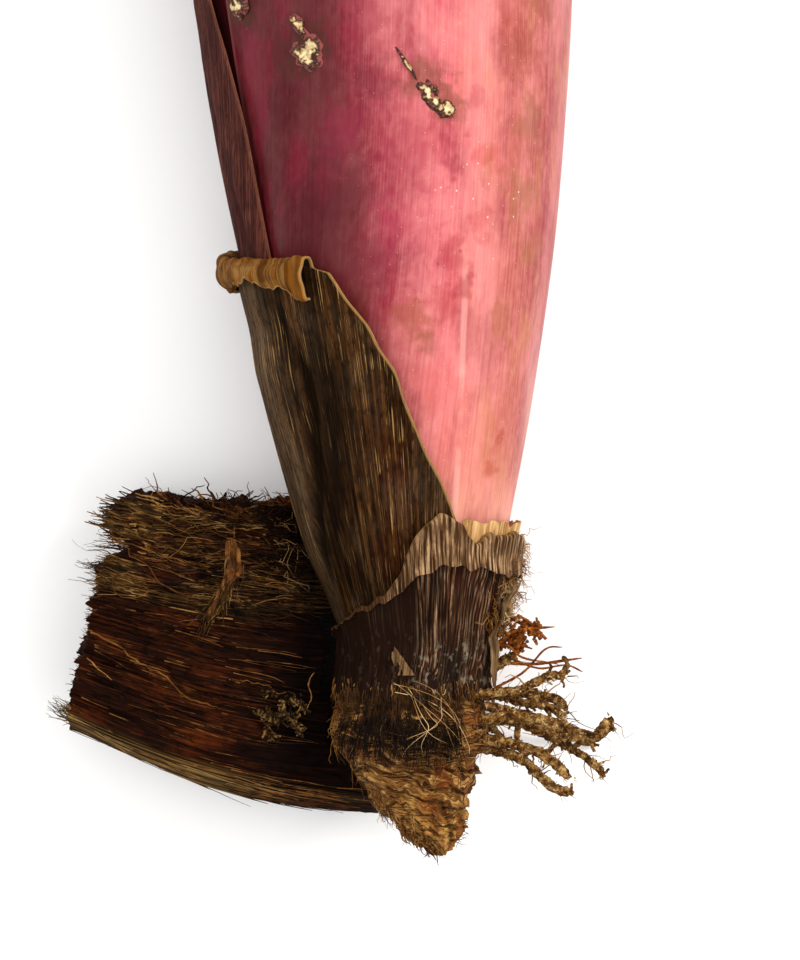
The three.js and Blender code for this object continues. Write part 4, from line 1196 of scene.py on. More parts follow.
def big_sheath():
    s = BIG_SHEATH
    body, roll, columns = 170, 44, 190
    u = np.linspace(0, 1, columns)[None, :]
    y = np.concatenate([np.linspace(s["base"], s["top"], body), np.full(roll, s["top"])])[:, None]
    ragged = ripples(u[0] * 22, 0.0, 42)[None, :]
    reach = ROLL["turn"] + 26 * ragged - 60 * smoothstep(0.0, 0.25, u) * smoothstep(0.55, 0.3, u)
    turn = np.concatenate(
        [np.zeros(body), np.linspace(0, 1, roll + 1)[1:]])[:, None] * np.radians(reach)
    edge = flowing(BIG_SHEATH_EDGE, y) + 0.8 * ripples(y / 6, 0.0, 45)
    edge = edge + ROLL["edge"] * smoothstep(0, 0.5, turn)
    degrees = mix(edge, s["back"], u)
    slanted = y - ROLL["slant"] * (1 - u) * smoothstep(80, s["top"], y)

    flare = 0.68 + 0.50 * smoothstep(0.55, 0.95, u) + 0.32 * smoothstep(0.22, 0.0, u)
    puckers = ripples(degrees / 6, turn * 1.2, 46)
    creases = ripples(degrees / 1.6, turn * 0.5, 47)
    curl = flare * (1 + 0.10 * puckers + 0.03 * creases)
    flat = 1 - smoothstep(0, 0.6, turn)
    r = dry_radius(2, y) + ROLL["out"] * curl * (1 - np.cos(turn))
    height = (
        slanted + ROLL["up"] * curl * np.sin(turn)
        - 0.9 * smoothstep(0.3, 0.0, u) * smoothstep(3, 5, turn))

    folds = ripples(degrees / 9, y / 55, 43)
    fine = ripples(degrees / 1.7, y / 45, 44)
    r = r + (0.22 * np.maximum(folds, -0.5) + 0.09 * fine) * flat
    middle_line = mix(151, 133, smoothstep(52, 76, y)) + 2.0 * ripples(y / 9, 0.0, 48)
    here = smoothstep(46, 56, y) * smoothstep(97, 86, y) * flat
    past = degrees - middle_line
    groove = np.exp(-(past / 3.0) ** 2) * here
    r = r + 0.95 * smoothstep(-1.5, 3.5, past) * here - 0.45 * groove + 0.2
    bulge = np.exp(-((degrees - 162) / 9) ** 2 - ((y - 79) / 11) ** 2)
    r = r + (0.7 * bulge + 0.7 * (1 - u) ** 12 * smoothstep(45, 60, y)) * flat
    shape = (body + roll, columns)
    middle = placed(about_axis(np.broadcast_to(r, shape), np.broadcast_to(degrees, shape),
                               np.broadcast_to(height, shape)))
    across = np.radians(degrees) * SHEATH_GRAIN_R
    lengths = y + ROLL["out"] * 1.3 * turn
    arc = np.radians(s["back"] - edge) * dry_radius(2, y)
    rim = np.minimum(u * arc, (1 - u) * arc)
    rim = np.minimum(rim, np.maximum(np.radians(reach) - turn, 0) * 3 + (turn == 0) * 9)
    # Painted shade in the `gloom` mark: a dark line in the groove, a band beside it, the inside of
    # the roll, and darker towards the sheath's foot.
    shade = 0.8 * np.exp(-((past + 11) / 9) ** 2) * here
    roll_shadow = 0.8 * smoothstep(0.12, 0.0, u) * smoothstep(0.5, 2.0, turn)
    gloom = np.clip(0.9 * groove + shade + roll_shadow + 0.4 * smoothstep(56, 46, y), 0, 0.92)
    piece = shell_piece("big_sheath", middle, 0.40, FINISHES["big_sheath"], across, lengths,
                        {"edge": rim, "gloom": gloom, "turn": degrees / 360})
    show(piece, "dry_leaf", "dry_sheath")


BASAL_SHEATH = dict(base=30, start=-42, end=216)
# Pairs of an angle and, first, the height of the fold there, then how far the collar hangs.
BASAL_TOP = [
    (-42, 44), (-20, 48), (0, 54), (14, 57.2), (28, 57.8), (42, 57.2), (48, 58), (54, 56.2),
    (60, 57.5), (68, 60), (76, 60.8), (84, 59), (90, 56), (96, 52), (103, 49), (110, 47.3),
    (118, 45.6), (127, 44.6), (150, 42), (216, 39)]
COLLAR_DROP = [
    (-42, 0.5), (-20, 1.5), (0, 4), (14, 6.5), (28, 7), (42, 6), (48, 6), (54, 3.6), (60, 5),
    (68, 7.4), (76, 8.6), (84, 7.8), (90, 6), (96, 3.4), (103, 1.7), (110, 0.9), (118, 0.6),
    (127, 0.3), (216, 0.3)]
RIB_PITCH = 0.70


def basal_sheath():
    s = BASAL_SHEATH
    body, fold, columns = 88, 30, 400
    degrees = np.linspace(s["start"], s["end"], columns)[None, :]
    flat_noise = np.stack([degrees[0], degrees[0] * 0], -1)
    top = flowing(BASAL_TOP, degrees) + 0.30 * waves(flat_noise / 5, 1.0, 51)[None, :]
    drop = flowing(COLLAR_DROP, degrees) * (1 + 0.03 * waves(flat_noise / 9, 1.0, 52)[None, :])
    radius = mix(0.30, 0.6, smoothstep(0, 6, drop))
    t = np.linspace(0, 1, body)[:, None]
    ragged = (
        1.1 * waves(flat_noise / 2.2, 1.0, 58)[None, :]
        + 0.7 * waves(flat_noise / 7, 1.0, 59)[None, :])
    y_body = mix(s["base"] + ragged * (1 - t) ** 3, top, t)
    bend = np.linspace(0, 1, fold + 1)[1:][:, None]
    turn = math.pi * np.minimum(bend / 0.3, 1)
    hang = np.maximum((bend - 0.3) / 0.7, 0)
    y_fold = top + radius * np.sin(turn) - drop * hang
    flare = radius * (1 - np.cos(turn)) + 1.0 * hang ** 2 * smoothstep(0, 6, drop)
    y = np.concatenate([y_body, y_fold])
    r = np.concatenate([basal_radius(y_body), basal_radius(y_fold) + flare])

    around_mm = np.radians(degrees) * BASAL_GRAIN_R
    wobble = 0.45 * ripples(around_mm / 5, y / 12, 53)
    splay = smoothstep(43, 30, y) * 0.5 * ripples(around_mm / 3, y / 4, 56)
    rib = 0.5 + 0.5 * np.cos(2 * math.pi * (around_mm + wobble + splay) / RIB_PITCH)
    rib = rib ** 1.6 * (0.72 + 0.28 * ripples(around_mm / 1.1, y / 7, 54))
    folded = np.concatenate([np.zeros((body, 1)), np.ones((fold, 1))])
    smooth_side = smoothstep(84, 94, degrees) * (1 - folded)
    rib = np.clip(rib * (1 - 0.92 * smooth_side), 0, 1)
    lumps = ripples(around_mm, y, 55, size=5.0)
    creases = ripples(around_mm / 0.8, y / 3.2, 57) * smoothstep(43, 36, y)
    r = (
        r + (0.30 - 0.18 * folded) * (rib - 0.35) + 0.20 * lumps * (1 - 0.5 * folded)
        + 0.16 * creases)
    shape = y.shape
    middle = placed(about_stem(r, np.broadcast_to(degrees, shape), y))
    foot = smoothstep(44, 36, y)
    # Painted shade in the `gloom` mark: over the smooth left side, the left of the collar, the dark
    # gap low on the right and everything past about 130 degrees.
    gloom = 0.85 * smooth_side * np.ones(shape) + 0.9 * folded * smoothstep(98, 118, degrees)
    gloom = gloom + 0.6 * smoothstep(24, 12, degrees) * (1 - folded) + smoothstep(124, 134, degrees)
    # The `edge` mark here is the distance from the collar's fold crest, where the painted highlight
    # goes.
    lip = np.maximum(bend - 0.1, 0) * 7 + 9 * smoothstep(106, 120, degrees)
    crest = np.concatenate([np.full((body, columns), 9.0), lip])
    piece = shell_piece("folded_sheath", middle, 0.38, FINISHES["basal_sheath"],
                        np.broadcast_to(around_mm, shape), y,
                        {"rib": rib, "foot": foot, "gloom": np.clip(gloom, 0, 0.9), "edge": crest})
    show(piece, "dry_leaf", "basal_sheath")


def scrap(
    name, node_name, degrees, start, end, half, taper, lift, layer, finish, crumple, seed, jag=0.6,
    swing=0.0, point=0.0):
    """A torn scrap of dry skin standing off the tube."""
    rows, columns = 60, 50
    t, u = np.linspace(0, 1, rows)[:, None], np.linspace(-1, 1, columns)[None, :]
    width = half * mix(1, np.sin(math.pi * mix(0.18, 0.95, t)), taper) * (1 - point * t)
    width = width * (1 + 0.10 * ripples(t[:, 0] * 7, 0.0, seed)[:, None])
    tears = ripples(u[0] * 6, 0.0, seed + 1) + 0.4 * ripples(u[0] * 22, 0.0, seed + 5)
    y = mix(start, end + jag * tears[None, :], t)
    angle = degrees + width * u + swing * t
    around_mm = np.radians(angle) * SCRAP_GRAIN_R
    lumps = ripples(around_mm / 2.2, y / 5, seed + 2)
    ribs = ripples(around_mm / 0.5, y / 6, seed + 3)
    base, about = (basal_radius(y) - 0.2, about_stem) if layer is None else (
        dry_radius(layer, y), about_axis)
    r = base + lift * t ** 2 + crumple * lumps + 0.10 * ribs
    shape = (rows, columns)
    middle = placed(
        about(np.broadcast_to(r, shape), np.broadcast_to(angle, shape), np.broadcast_to(y, shape)))
    whole = np.ones(shape)
    piece = shell_piece(
        name, middle, 0.3, FINISHES[finish], around_mm * whole, y * whole, {"edge": 9.0})
    show(piece, "dry_leaf", node_name)


outer_dry_leaf()
big_sheath()
basal_sheath()
scrap(
    "cream_rim", "papery_rim", degrees=17, start=42, end=60.4, half=50, taper=0.1, lift=0.3,
    layer=2.15, finish="cream_paper", crumple=0.16, seed=61, jag=0.45)
scrap(
    "torn_side_strip", "side_strip", degrees=27, start=31, end=49, half=8, taper=1, lift=1.6,
    layer=4.4, finish="tan_paper", crumple=0.7, seed=64)
scrap(
    "torn_front_scrap", "front_scrap", degrees=96, start=33.4, end=37.4, half=8, taper=0, lift=1.4,
    layer=None, finish="tan_paper", crumple=0.15, seed=67, swing=9.0, point=0.92)


def collar_fringe():
    """Shredded skin hanging down the right of the collar."""
    random = np.random.default_rng(70)
    for name, finish, count, degrees, height, long in (
            ("collar_fringe", "pale_fibre", 620, (-36, 30), (43, 58), (1.2, 4.2)),
            ("collar_shreds", "brown_hair", 260, (-36, 36), (41, 56), (1.2, 4.0))):
        knots = random.uniform(0, 1, (26, 2))
        pick = knots[random.integers(0, len(knots), count)] + random.normal(0, 0.05, (count, 2))
        angle, y = mix(*degrees, pick[:, 0]), mix(*height, np.clip(pick[:, 1], 0, 1))
        points = placed(about_axis(dry_radius(3.2, y) + random.uniform(0, 1.1, count), angle, y))
        grow = (
            turned(angle) * random.uniform(0.0, 0.5, (count, 1))
            + random.normal(0, 0.4, (count, 3)))
        grow[:, 1] -= random.uniform(0.4, 1.4, count)
        piece = fibre_piece(
            name, points, grow, random.uniform(*long, count), random.uniform(0.05, 0.17, count),
            FINISHES[finish], bow=0.30, seed=4, bends=2.2)
        show(piece, "dry_leaf")


collar_fringe()


# ---------- the stem ----------
CORM_TOP, CORM_GRAIN_R = 42, 14
CORE_DOME, CORE_TURNS = 9, 7


def corm():
    """The rounded foot, wrapped in torn fibrous scales down to its broken tip."""
    rows, columns = 300, 330
    y = np.linspace(0, CORM_TOP, rows)[:, None]
    degrees = np.linspace(0, 360, columns, endpoint=False)[None, :]
    shape = (rows, columns)
    base = stem_radius(y) - 0.25 * smoothstep(FOOT_Y, 34, y)
    ring = turned(degrees[0])
    field = np.stack([np.broadcast_to(ring[:, 0] * 10, shape), np.broadcast_to(y, shape),
                      np.broadcast_to(ring[:, 2] * 10, shape)], -1)
    lumps = waves(field, 5.5, 81)
    slant = y + 2.4 * ring[None, :, 0] + 1.0 * waves(field, 5.0, 82) + 0.30 * waves(field, 1.3, 86)
    around_mm = np.radians(degrees) * CORM_GRAIN_R
    torn = ripples(around_mm, slant, 85, size=1.6)
    scales = (slant / 2.9 + 0.10 * torn) % 1.0
    round_fibres = ripples(np.radians(degrees) * 2.6, slant / 0.42, 83)
    down_fibres = ripples(around_mm / 0.6, y / 6, 84)
    visible = smoothstep(37, 30, y)
    hairy = smoothstep(18, 26, y)
    r = base + visible * (0.45 * lumps + (1.1 + 0.4 * torn) * (0.42 - scales) * (1 - 0.7 * hairy)
                          + 0.16 * mix(round_fibres, down_fibres, hairy) + 0.14 * torn)
    r = np.maximum(r * smoothstep(-1.5, 1.2, y), 0.3)
    points = placed(about_stem(r, np.broadcast_to(degrees, shape), np.broadcast_to(y, shape)))
    faces = grid_faces(rows, columns, closed=True)
    count = rows * columns
    ends = [points[0].mean(0), points[-1].mean(0)]
    points = np.concatenate([points.reshape(-1, 3), ends])
    last = count - columns
    for k in range(columns):
        n = (k + 1) % columns
        faces.append((n, k, count))
        faces.append((last + k, last + n, count + 1))
    grain = np.stack(np.broadcast_arrays(around_mm, slant), -1).reshape(-1, 2) / 1000
    # Painted shade under each scale's edge, kept in the `under` mark.
    under = np.broadcast_to(smoothstep(0.75, 0.98, scales), shape).ravel() * 0.7
    piece = mesh_piece(
        "corm", points, faces, FINISHES["corm"],
        np.concatenate([grain, [[0, 0], [0, CORM_TOP / 1000]]]),
        {"under": np.concatenate([under, [0, 0]])}, sharp=70)
    fix_normals(piece)
    show(piece, "stem", "stem")


def growing_core():
    """The stem inside the leaves, up to its growing tip."""
    rows, columns = 60, 40
    top = NECK_Y + CORE_TURNS * LEAF_STEP_Y
    rounding = np.sin(np.linspace(0, math.pi / 2, 17)[1:])
    y = np.concatenate([np.linspace(NECK_Y + 1, top, 44), top + CORE_DOME * rounding])[:, None]
    dome = np.sqrt(np.maximum(1 - np.clip((y - top) / CORE_DOME, 0, 1) ** 2, 1e-4))
    degrees = np.linspace(0, 360, columns, endpoint=False)[None, :]
    shape = (rows, columns)
    r = np.broadcast_to((stem_radius(np.minimum(y, top)) - 0.2) * dome, shape)
    points = placed(
        about_stem(r, np.broadcast_to(degrees, shape), np.broadcast_to(y, shape))).reshape(-1, 3)
    faces = grid_faces(rows, columns, closed=True)
    faces += [tuple(range(columns)), tuple(range(rows * columns - 1, (rows - 1) * columns - 1, -1))]
    piece = mesh_piece("growing_core", points, faces, FINISHES["stem_core"])
    fix_normals(piece)
    show(piece, "stem")


corm()
growing_core()


def corm_hair(
    name, finish, count, low, high, degrees_low, degrees_high, long, wide, bow, spread, lift, turn,
    seed):
    """Fibres that lie on the foot: down it where `turn` is 0, round it where it is 1."""
    random = np.random.default_rng(seed)
    y = random.uniform(low, high, count)
    degrees = random.uniform(degrees_low, degrees_high, count)
    surface = np.where(y > 30, basal_radius(y) + 0.1, stem_radius(y))
    points = placed(about_stem(surface, degrees, y))
    outward = turned(degrees)
    slope = (stem_radius(y + 0.5) - stem_radius(y - 0.5))[:, None]
    down = -np.array([0.0, 1.0, 0.0]) - outward * slope * (y < 30)[:, None]
    sideways = np.cross(outward, [0.0, 1.0, 0.0]) * np.where(
        random.random(count) < 0.5, 1, -1)[:, None]
    grow = (
        unit(mix(unit(down), sideways, turn))
        + random.normal(0, spread, (count, 3)) * (1 - 0.6 * np.abs(outward)))
    grow = grow + outward * lift
    piece = fibre_piece(
        name, points, grow, random.uniform(*long, count), random.uniform(*wide, count),
        FINISHES[finish], bow=bow, steps=8, seed=seed, pull=-outward * (0.10 + 0.25 * turn))
    show(piece, "stem")


corm_hair(
    "black_hair", "black_hair", count=900, low=23, high=33, degrees_low=52, degrees_high=150,
    long=(4, 9), wide=(0.05, 0.12), bow=0.10, spread=0.16, lift=0.08, turn=0.0, seed=91)
corm_hair(
    "scale_fibres", "brown_hair", count=900, low=3, high=24, degrees_low=0, degrees_high=360,
    long=(2.5, 6), wide=(0.06, 0.15), bow=0.06, spread=0.12, lift=0.06, turn=1.0, seed=92)
corm_hair(
    "down_fibres", "brown_hair", count=420, low=8, high=30, degrees_low=0, degrees_high=360,
    long=(2, 5), wide=(0.05, 0.13), bow=0.10, spread=0.22, lift=0.05, turn=0.0, seed=95)
corm_hair(
    "tip_shreds", "brown_hair", count=120, low=1, high=9, degrees_low=90, degrees_high=260,
    long=(1.5, 3.4), wide=(0.10, 0.26), bow=0.16, spread=0.30, lift=0.20, turn=0.2, seed=96)
corm_hair(
    "sheath_fray", "brown_hair", count=220, low=30, high=32.5, degrees_low=0, degrees_high=360,
    long=(1, 4), wide=(0.06, 0.16), bow=0.14, spread=0.30, lift=0.05, turn=0.1, seed=94)


def curve_through(points, count=48):
    """A smooth path through points."""
    p = np.array(points, float)
    p = np.concatenate([[2 * p[0] - p[1]], p, [2 * p[-1] - p[-2]]])
    parts = []
    for a, b, c, d in zip(p, p[1:], p[2:], p[3:]):
        t = np.linspace(0, 1, count // (len(p) - 3) + 1)[:, None]
        parts.append(0.5 * ((2 * b) + (c - a) * t + (2 * a - 5 * b + 4 * c - d) * t ** 2
                            + (3 * b - a - 3 * c + d) * t ** 3)[:-1])
    return np.concatenate(parts + [p[-2:-1]])


def tubes_piece(name, lines, finish, slot, nodes=(), knobs=0.5, knob_size=1.6, sides=12, step=0.4):
    """Knobbly tubes along lines of points in the part's frame, each with its two radii."""
    points, edges, thick, kinds = [], [], [], []
    for number, ((start, end), line) in enumerate(lines):
        share = np.linspace(0, 1, len(line))
        kinds += [number * 0.618 % 1 * 0.6 + 0.35] * len(line)
        radius = mix(start, end, share) * np.minimum(
            1, np.sqrt(np.clip((1.02 - share) * 9, 0.02, 1)))
        edges += [(len(points) + k, len(points) + k + 1) for k in range(len(line) - 1)]
        points += np.asarray(line).tolist()
        thick += (radius / 1000).tolist()
    seeds = bpy.data.meshes.new(name + "_seeds")
    seeds.from_pydata(points, edges, [])
    for label, values in (("thick", thick), ("kind", kinds)):
        seeds.attributes.new(label, "FLOAT", "POINT").data.foreach_set(
            "value", np.array(values, np.float32))
    piece = grown(name, seeds, ROOT_TUBES, {
        "Step": step / 1000, "Sides": sides, "Knobs": knobs / 1000, "Knob size": knob_size / 1000,
        "Material": finish})
    show(piece, slot, *nodes)


def straw_loops():
    """Pale wiry fibres that loop down over the foot from under the sheath."""
    random = np.random.default_rng(97)
    lines = []
    for number in range(10):
        t = np.linspace(0, 1, 40)
        first, last = random.uniform(66, 104), random.uniform(34, 64)
        high, low = random.uniform(29.5, 33.5), random.uniform(18, 26)
        back = random.uniform(12, 40) if number % 3 == 0 else 0.0
        late = smoothstep(0.55, 1.0, t)
        degrees = (
            mix(first, last, t ** 0.8) + back * late + random.uniform(-8, 8) * np.sin(math.pi * t))
        y = mix(high, low, t) + random.uniform(-2, 2.5) * np.sin(math.pi * t) - 0.06 * back * late
        surface = np.where(y > 30, basal_radius(y) + 0.2, stem_radius(y) + 0.4)
        lift = random.uniform(0.5, 2.2) * np.sin(math.pi * t) + 0.3
        width = random.uniform(0.04, 0.07)
        lines.append(((width, width * 0.7), placed(about_stem(surface + lift, degrees, y))))
    tubes_piece(
        "straw_loops", lines, FINISHES["straw_hair"], "stem", knobs=0.01, knob_size=0.8, sides=5,
        step=0.5)


straw_loops()


# ---------- roots ----------
# Each root: its radii where it starts and ends, then the points that it runs through.
ROOTS = {
    "root_1": ((1.3, 0.9), [(9, 30, 33), (16, 33.3, 34), (18.5, 35, 33), (20.5, 36, 31)]),
    "root_2": (
        (1.1, 0.8), [(8, 29, 40), (15, 29.8, 41), (21, 30.4, 42), (26.3, 33, 43), (29.2, 33, 44)]),
    "root_3": (
        (1.2, 1.1),
        [(8, 29, 35), (15, 29.3, 36), (20, 29.7, 37), (27.5, 28.6, 37), (30, 26.8, 38)]),
    "root_4": (
        (1.1, 0.8),
        [(8, 28, 29), (17, 28.6, 29), (22, 27.5, 30), (27.7, 26.4, 31), (29.6, 24.4, 31)]),
    "root_5": (
        (1.25, 1.2),
        [
            (6, 25, 38), (15, 25, 39), (21, 25.7, 39), (28, 24.2, 39), (34.5, 22, 40),
            (38, 25.4, 41)]),
    "root_6": (
        (1.1, 0.9),
        [
            (6, 24, 33), (15, 24.2, 33.5), (21.4, 24, 34.5), (29.5, 20.2, 34.5), (34.5, 17, 34),
            (37.1, 14.2, 33)]),
    "root_7": (
        (1.2, 1.2),
        [(6, 21.5, 36), (15, 21.3, 37), (22.5, 19.8, 38), (27, 17.6, 38), (30.4, 14.4, 38)]),
    "root_8": (
        (1.3, 1.0),
        [
            (6, 20, 32), (14, 19.4, 32), (21.5, 17.6, 32), (25.5, 14, 31), (28.4, 11.8, 31),
            (31.4, 11, 31)]),
    "root_9": ((1.2, 0.7), [(6, 25, 26), (14, 26, 20), (22, 24, 11), (29, 20, 4), (38, 17, 1.2)]),
    "holdfast_1": (
        (1.3, 0.9), [(0, 25, 28), (-6, 25, 18), (-13, 25.5, 13), (-24, 28, 11), (-34, 31, 12)]),
    "holdfast_2": (
        (1.2, 0.8), [(0, 20, 27), (-3, 19, 17), (-9, 19, 11), (-20, 20, 8), (-31, 22, 9)]),
    "holdfast_3": ((1.3, 0.9), [(4, 27, 27), (2, 29, 16), (-5, 32, 9), (-16, 36, 7), (-28, 39, 8)]),
    "holdfast_4": (
        (1.1, 0.7), [(5, 18, 28), (7, 15, 16), (3, 13, 9), (-7, 14.5, 7), (-18, 18, 8)]),
}
ROOT_STUBS = [
    ((1.0, 0.8), [(35, 22.4, 40), (36.4, 24.2, 41.2), (37.0, 25.2, 41.6)]),
    ((0.7, 0.5), [(28.2, 32.8, 43), (29.6, 35.0, 43.6), (28.9, 36.4, 44)]),
    ((0.8, 0.6), [(21.6, 25.4, 39), (21.0, 22.8, 38.6), (21.2, 20.2, 38.2)]),
    ((0.7, 0.5), [(24, 30.6, 42), (24.6, 28.6, 41), (25.6, 27, 40)]),
    ((0.6, 0.4), [(25.8, 17.9, 38), (27.2, 20.0, 38.6), (28.8, 21.2, 39)]),
    ((0.6, 0.4), [(20.6, 35.8, 31), (22.0, 37.9, 31), (22.6, 39.2, 31.4)]),
    ((0.7, 0.5), [(16, 24.6, 34), (17.6, 22.2, 34.6), (19.4, 21.0, 35)]),
    ((0.5, 0.35), [(31, 19.6, 34.5), (33.4, 20.6, 35.4), (35.2, 20.4, 36)]),
]
THIN_ROOTS = {
    "fibre_1": ((0.42, 0.22), [(9, 36, 36), (15.8, 37.3, 37), (20.5, 40.7, 38), (27.7, 41.6, 39)]),
    "fibre_2": ((0.38, 0.22), [(9, 34, 32), (16, 34.8, 32), (24.5, 34.4, 30), (33.1, 35.4, 29)]),
    "fibre_3": ((0.48, 0.26), [(10, 44, 27), (18.8, 43.4, 26), (21, 42.2, 26), (23.4, 41, 27)]),
}
MORE_THIN_ROOTS = [
    ((0.34, 0.2), [(13, 38.6, 35), (17.6, 40.6, 36), (21.6, 43.2, 37), (26.4, 39.4, 38)]),
    ((0.28, 0.16), [(14, 37, 37), (19, 38.2, 38), (22, 36.0, 38), (28.4, 34.8, 37.4)]),
    ((0.24, 0.14), [(16, 30, 38), (22, 33.4, 39), (26, 37.6, 39.4), (29, 38.0, 40)]),
    ((0.3, 0.2), [(17, 44.6, 28), (18.4, 41.4, 29), (20.4, 38.6, 30), (24, 37.2, 31)]),
    ((0.22, 0.14), [(20, 35.6, 32), (25, 33.8, 33), (30, 34.4, 33.6), (33, 33.2, 34)]),
]


ROOT_SLIMMING, HAIR_FOOT = 0.74, 0.72


def rooted(roots, slimmer=1.0):
    return [
        ((a * slimmer, b * slimmer), flat_placed(curve_through(path))) for (a, b), path in roots]


tubes_piece(
    "roots", rooted(list(ROOTS.values()) + ROOT_STUBS, ROOT_SLIMMING), FINISHES["root_bark"],
    "root", list(ROOTS), knobs=0.50, knob_size=1.15, sides=14, step=0.3)
tubes_piece(
    "thin_roots", rooted(list(THIN_ROOTS.values()) + MORE_THIN_ROOTS), FINISHES["rusty_root"],
    "root", list(THIN_ROOTS), knobs=0.08, knob_size=1.0, sides=6, step=0.6)


def root_hairs():
    """Crust, knobs and fine rootlets on the thicker roots."""
    random = np.random.default_rng(101)
    for name, finish, each, long, wide, sides, tip, bow in (
            ("root_rootlets", "brown_hair", 14, (1.6, 5.0), (0.06, 0.15), 4, 0.4, 0.25),
            ("root_knobs", "root_bark", 15, (0.6, 1.8), (0.20, 0.42), 7, 0.75, 0.25),
            ("root_crust", "root_lichen", 46, (0.2, 0.7), (0.08, 0.24), 5, 0.5, 0.2)):
        points, grow = [], []
        for root, ((first, last), path) in ROOTS.items():
            if root.startswith("holdfast") or root == "root_9":
                continue
            line = curve_through(path)
            chosen = random.integers(len(line) // 4, len(line), each)
            arrows = unit(random.normal(0, 1, (each, 3)) + np.array([0, 0, 0.5]))
            radius = mix(first, last, chosen / len(line))[:, None] * HAIR_FOOT
            points.append(flat_placed(line[chosen] + arrows * radius))
            grow.append(arrows + np.array([0.5, -0.1, 0]))
        points, grow = np.concatenate(points), np.concatenate(grow)
        count = len(points)
        piece = fibre_piece(
            name, points, grow, random.uniform(*long, count), random.uniform(*wide, count),
            FINISHES[finish], bow=bow, steps=6, sides=sides, tip=tip, seed=9)
        show(piece, "root")


def root_crumbs():
    """Rust-coloured crumbs of old medium caught in the thin roots."""
    random = np.random.default_rng(102)
    count = 230
    centres = np.array([
        (20.6, 40.2, 36.6), (22.4, 41.4, 37), (19.2, 39.0, 36.6), (24.4, 40.8, 37.6),
        (21.4, 38.4, 36.8)])
    picks = centres[random.integers(0, len(centres), count)] + random.normal(0, 0.75, (count, 3))
    piece = fibre_piece(
        "root_crumbs", flat_placed(picks), random.normal(0, 1, (count, 3)),
        random.uniform(0.4, 1.2, count), random.uniform(0.2, 0.42, count), FINISHES["rusty_root"],
        bow=0.2, steps=4, sides=6, tip=0.7, seed=12)
    show(piece, "root")


root_hairs()
root_crumbs()


# ---------- the husk ----------
def husk_plan(share, side):
    """A place on the husk from above: share runs along its fibres, side from skin to fray."""
    far = mix(HUSK_CORNERS[0, 0], HUSK_CORNERS[0, 1], side[..., None])
    near = mix(HUSK_CORNERS[1, 0], HUSK_CORNERS[1, 1], side[..., None])
    plan = mix(far, near, share[..., None])
    plan[..., 1] -= 3.2 * np.sin(math.pi * share) * (1 - side)
    return plan


def cradle_floor(x, y):
    """How high the husk may rise where the plant lies in it."""
    r = np.where(y < BASAL_SHEATH["base"] - 3, stem_radius(y) + 0.6, basal_radius(y) + 1.9) + 0.8
    off = x - axis_x(y) - along(STEM_SHIFT, np.clip(y, 0, NECK_Y))
    inside = np.abs(off) < r
    return np.where(inside, AXIS_HEIGHT - np.sqrt(np.maximum(r ** 2 - off ** 2, 0)), 99.0)


def husk_top(share, side):
    fray = 6 * smoothstep(0.66, 0.80, side)
    inner = 11 * smoothstep(0.5, 1, share)
    wave = 0.7 * np.sin(9 * side + 2) + 0.5 * np.sin(7 * share + 11 * side)
    top = HUSK_DEPTH - fray - inner + wave
    across, lengthwise = side * HUSK_WIDTH, share * HUSK_LENGTH
    grooves = ripples(across / 1.5, lengthwise / 15, 111)
    fine = ripples(across / 0.6, lengthwise / 8, 112)
    chips = ripples(across / 4, lengthwise / 14, 113)
    steps = np.round(chips * 1.1) / 1.1
    top = top + 0.42 * grooves + 0.20 * fine + 0.85 * steps * smoothstep(0.0, 0.12, side)
    top = top - 1.6 * smoothstep(0.86, 1.0, side) ** 2 * (1 + 0.6 * grooves)
    return top


def husk_point(share, side, t):
    share, side, t = np.broadcast_arrays(share, side, t)
    plan = husk_plan(share, side)
    top = np.minimum(husk_top(share, side), cradle_floor(plan[..., 0], plan[..., 1]))
    x, y = plan[..., 0], plan[..., 1]
    y = y - 3.5 * np.sin(math.pi * t) * (1 - side) ** 12
    across, lengthwise, up = side * HUSK_WIDTH, share * HUSK_LENGTH, t * HUSK_DEPTH
    layers = ripples(up / 1.1, lengthwise / 30, 114)
    y = y - 0.55 * layers * (1 - side) ** 12 * smoothstep(0, 0.05, t)
    torn = ripples(across, up, 115, size=2.2) + ripples(across, up, 116, size=0.9)
    x = x - (0.6 * torn + 0.4) * (1 - share) ** 40
    x = x + 5.0 * np.exp(-((side - 0.785) / 0.035) ** 2) * (1 - share) ** 14
    rag = 1.0 * ripples(lengthwise, up, 117, size=5.0)
    rag = rag + 0.35 * ripples(lengthwise, up * 0.3, 118, size=1.1)
    y = y + rag * side ** 30
    return np.stack([x, y, t * top], -1)


END_GRAIN_STRETCH = 9


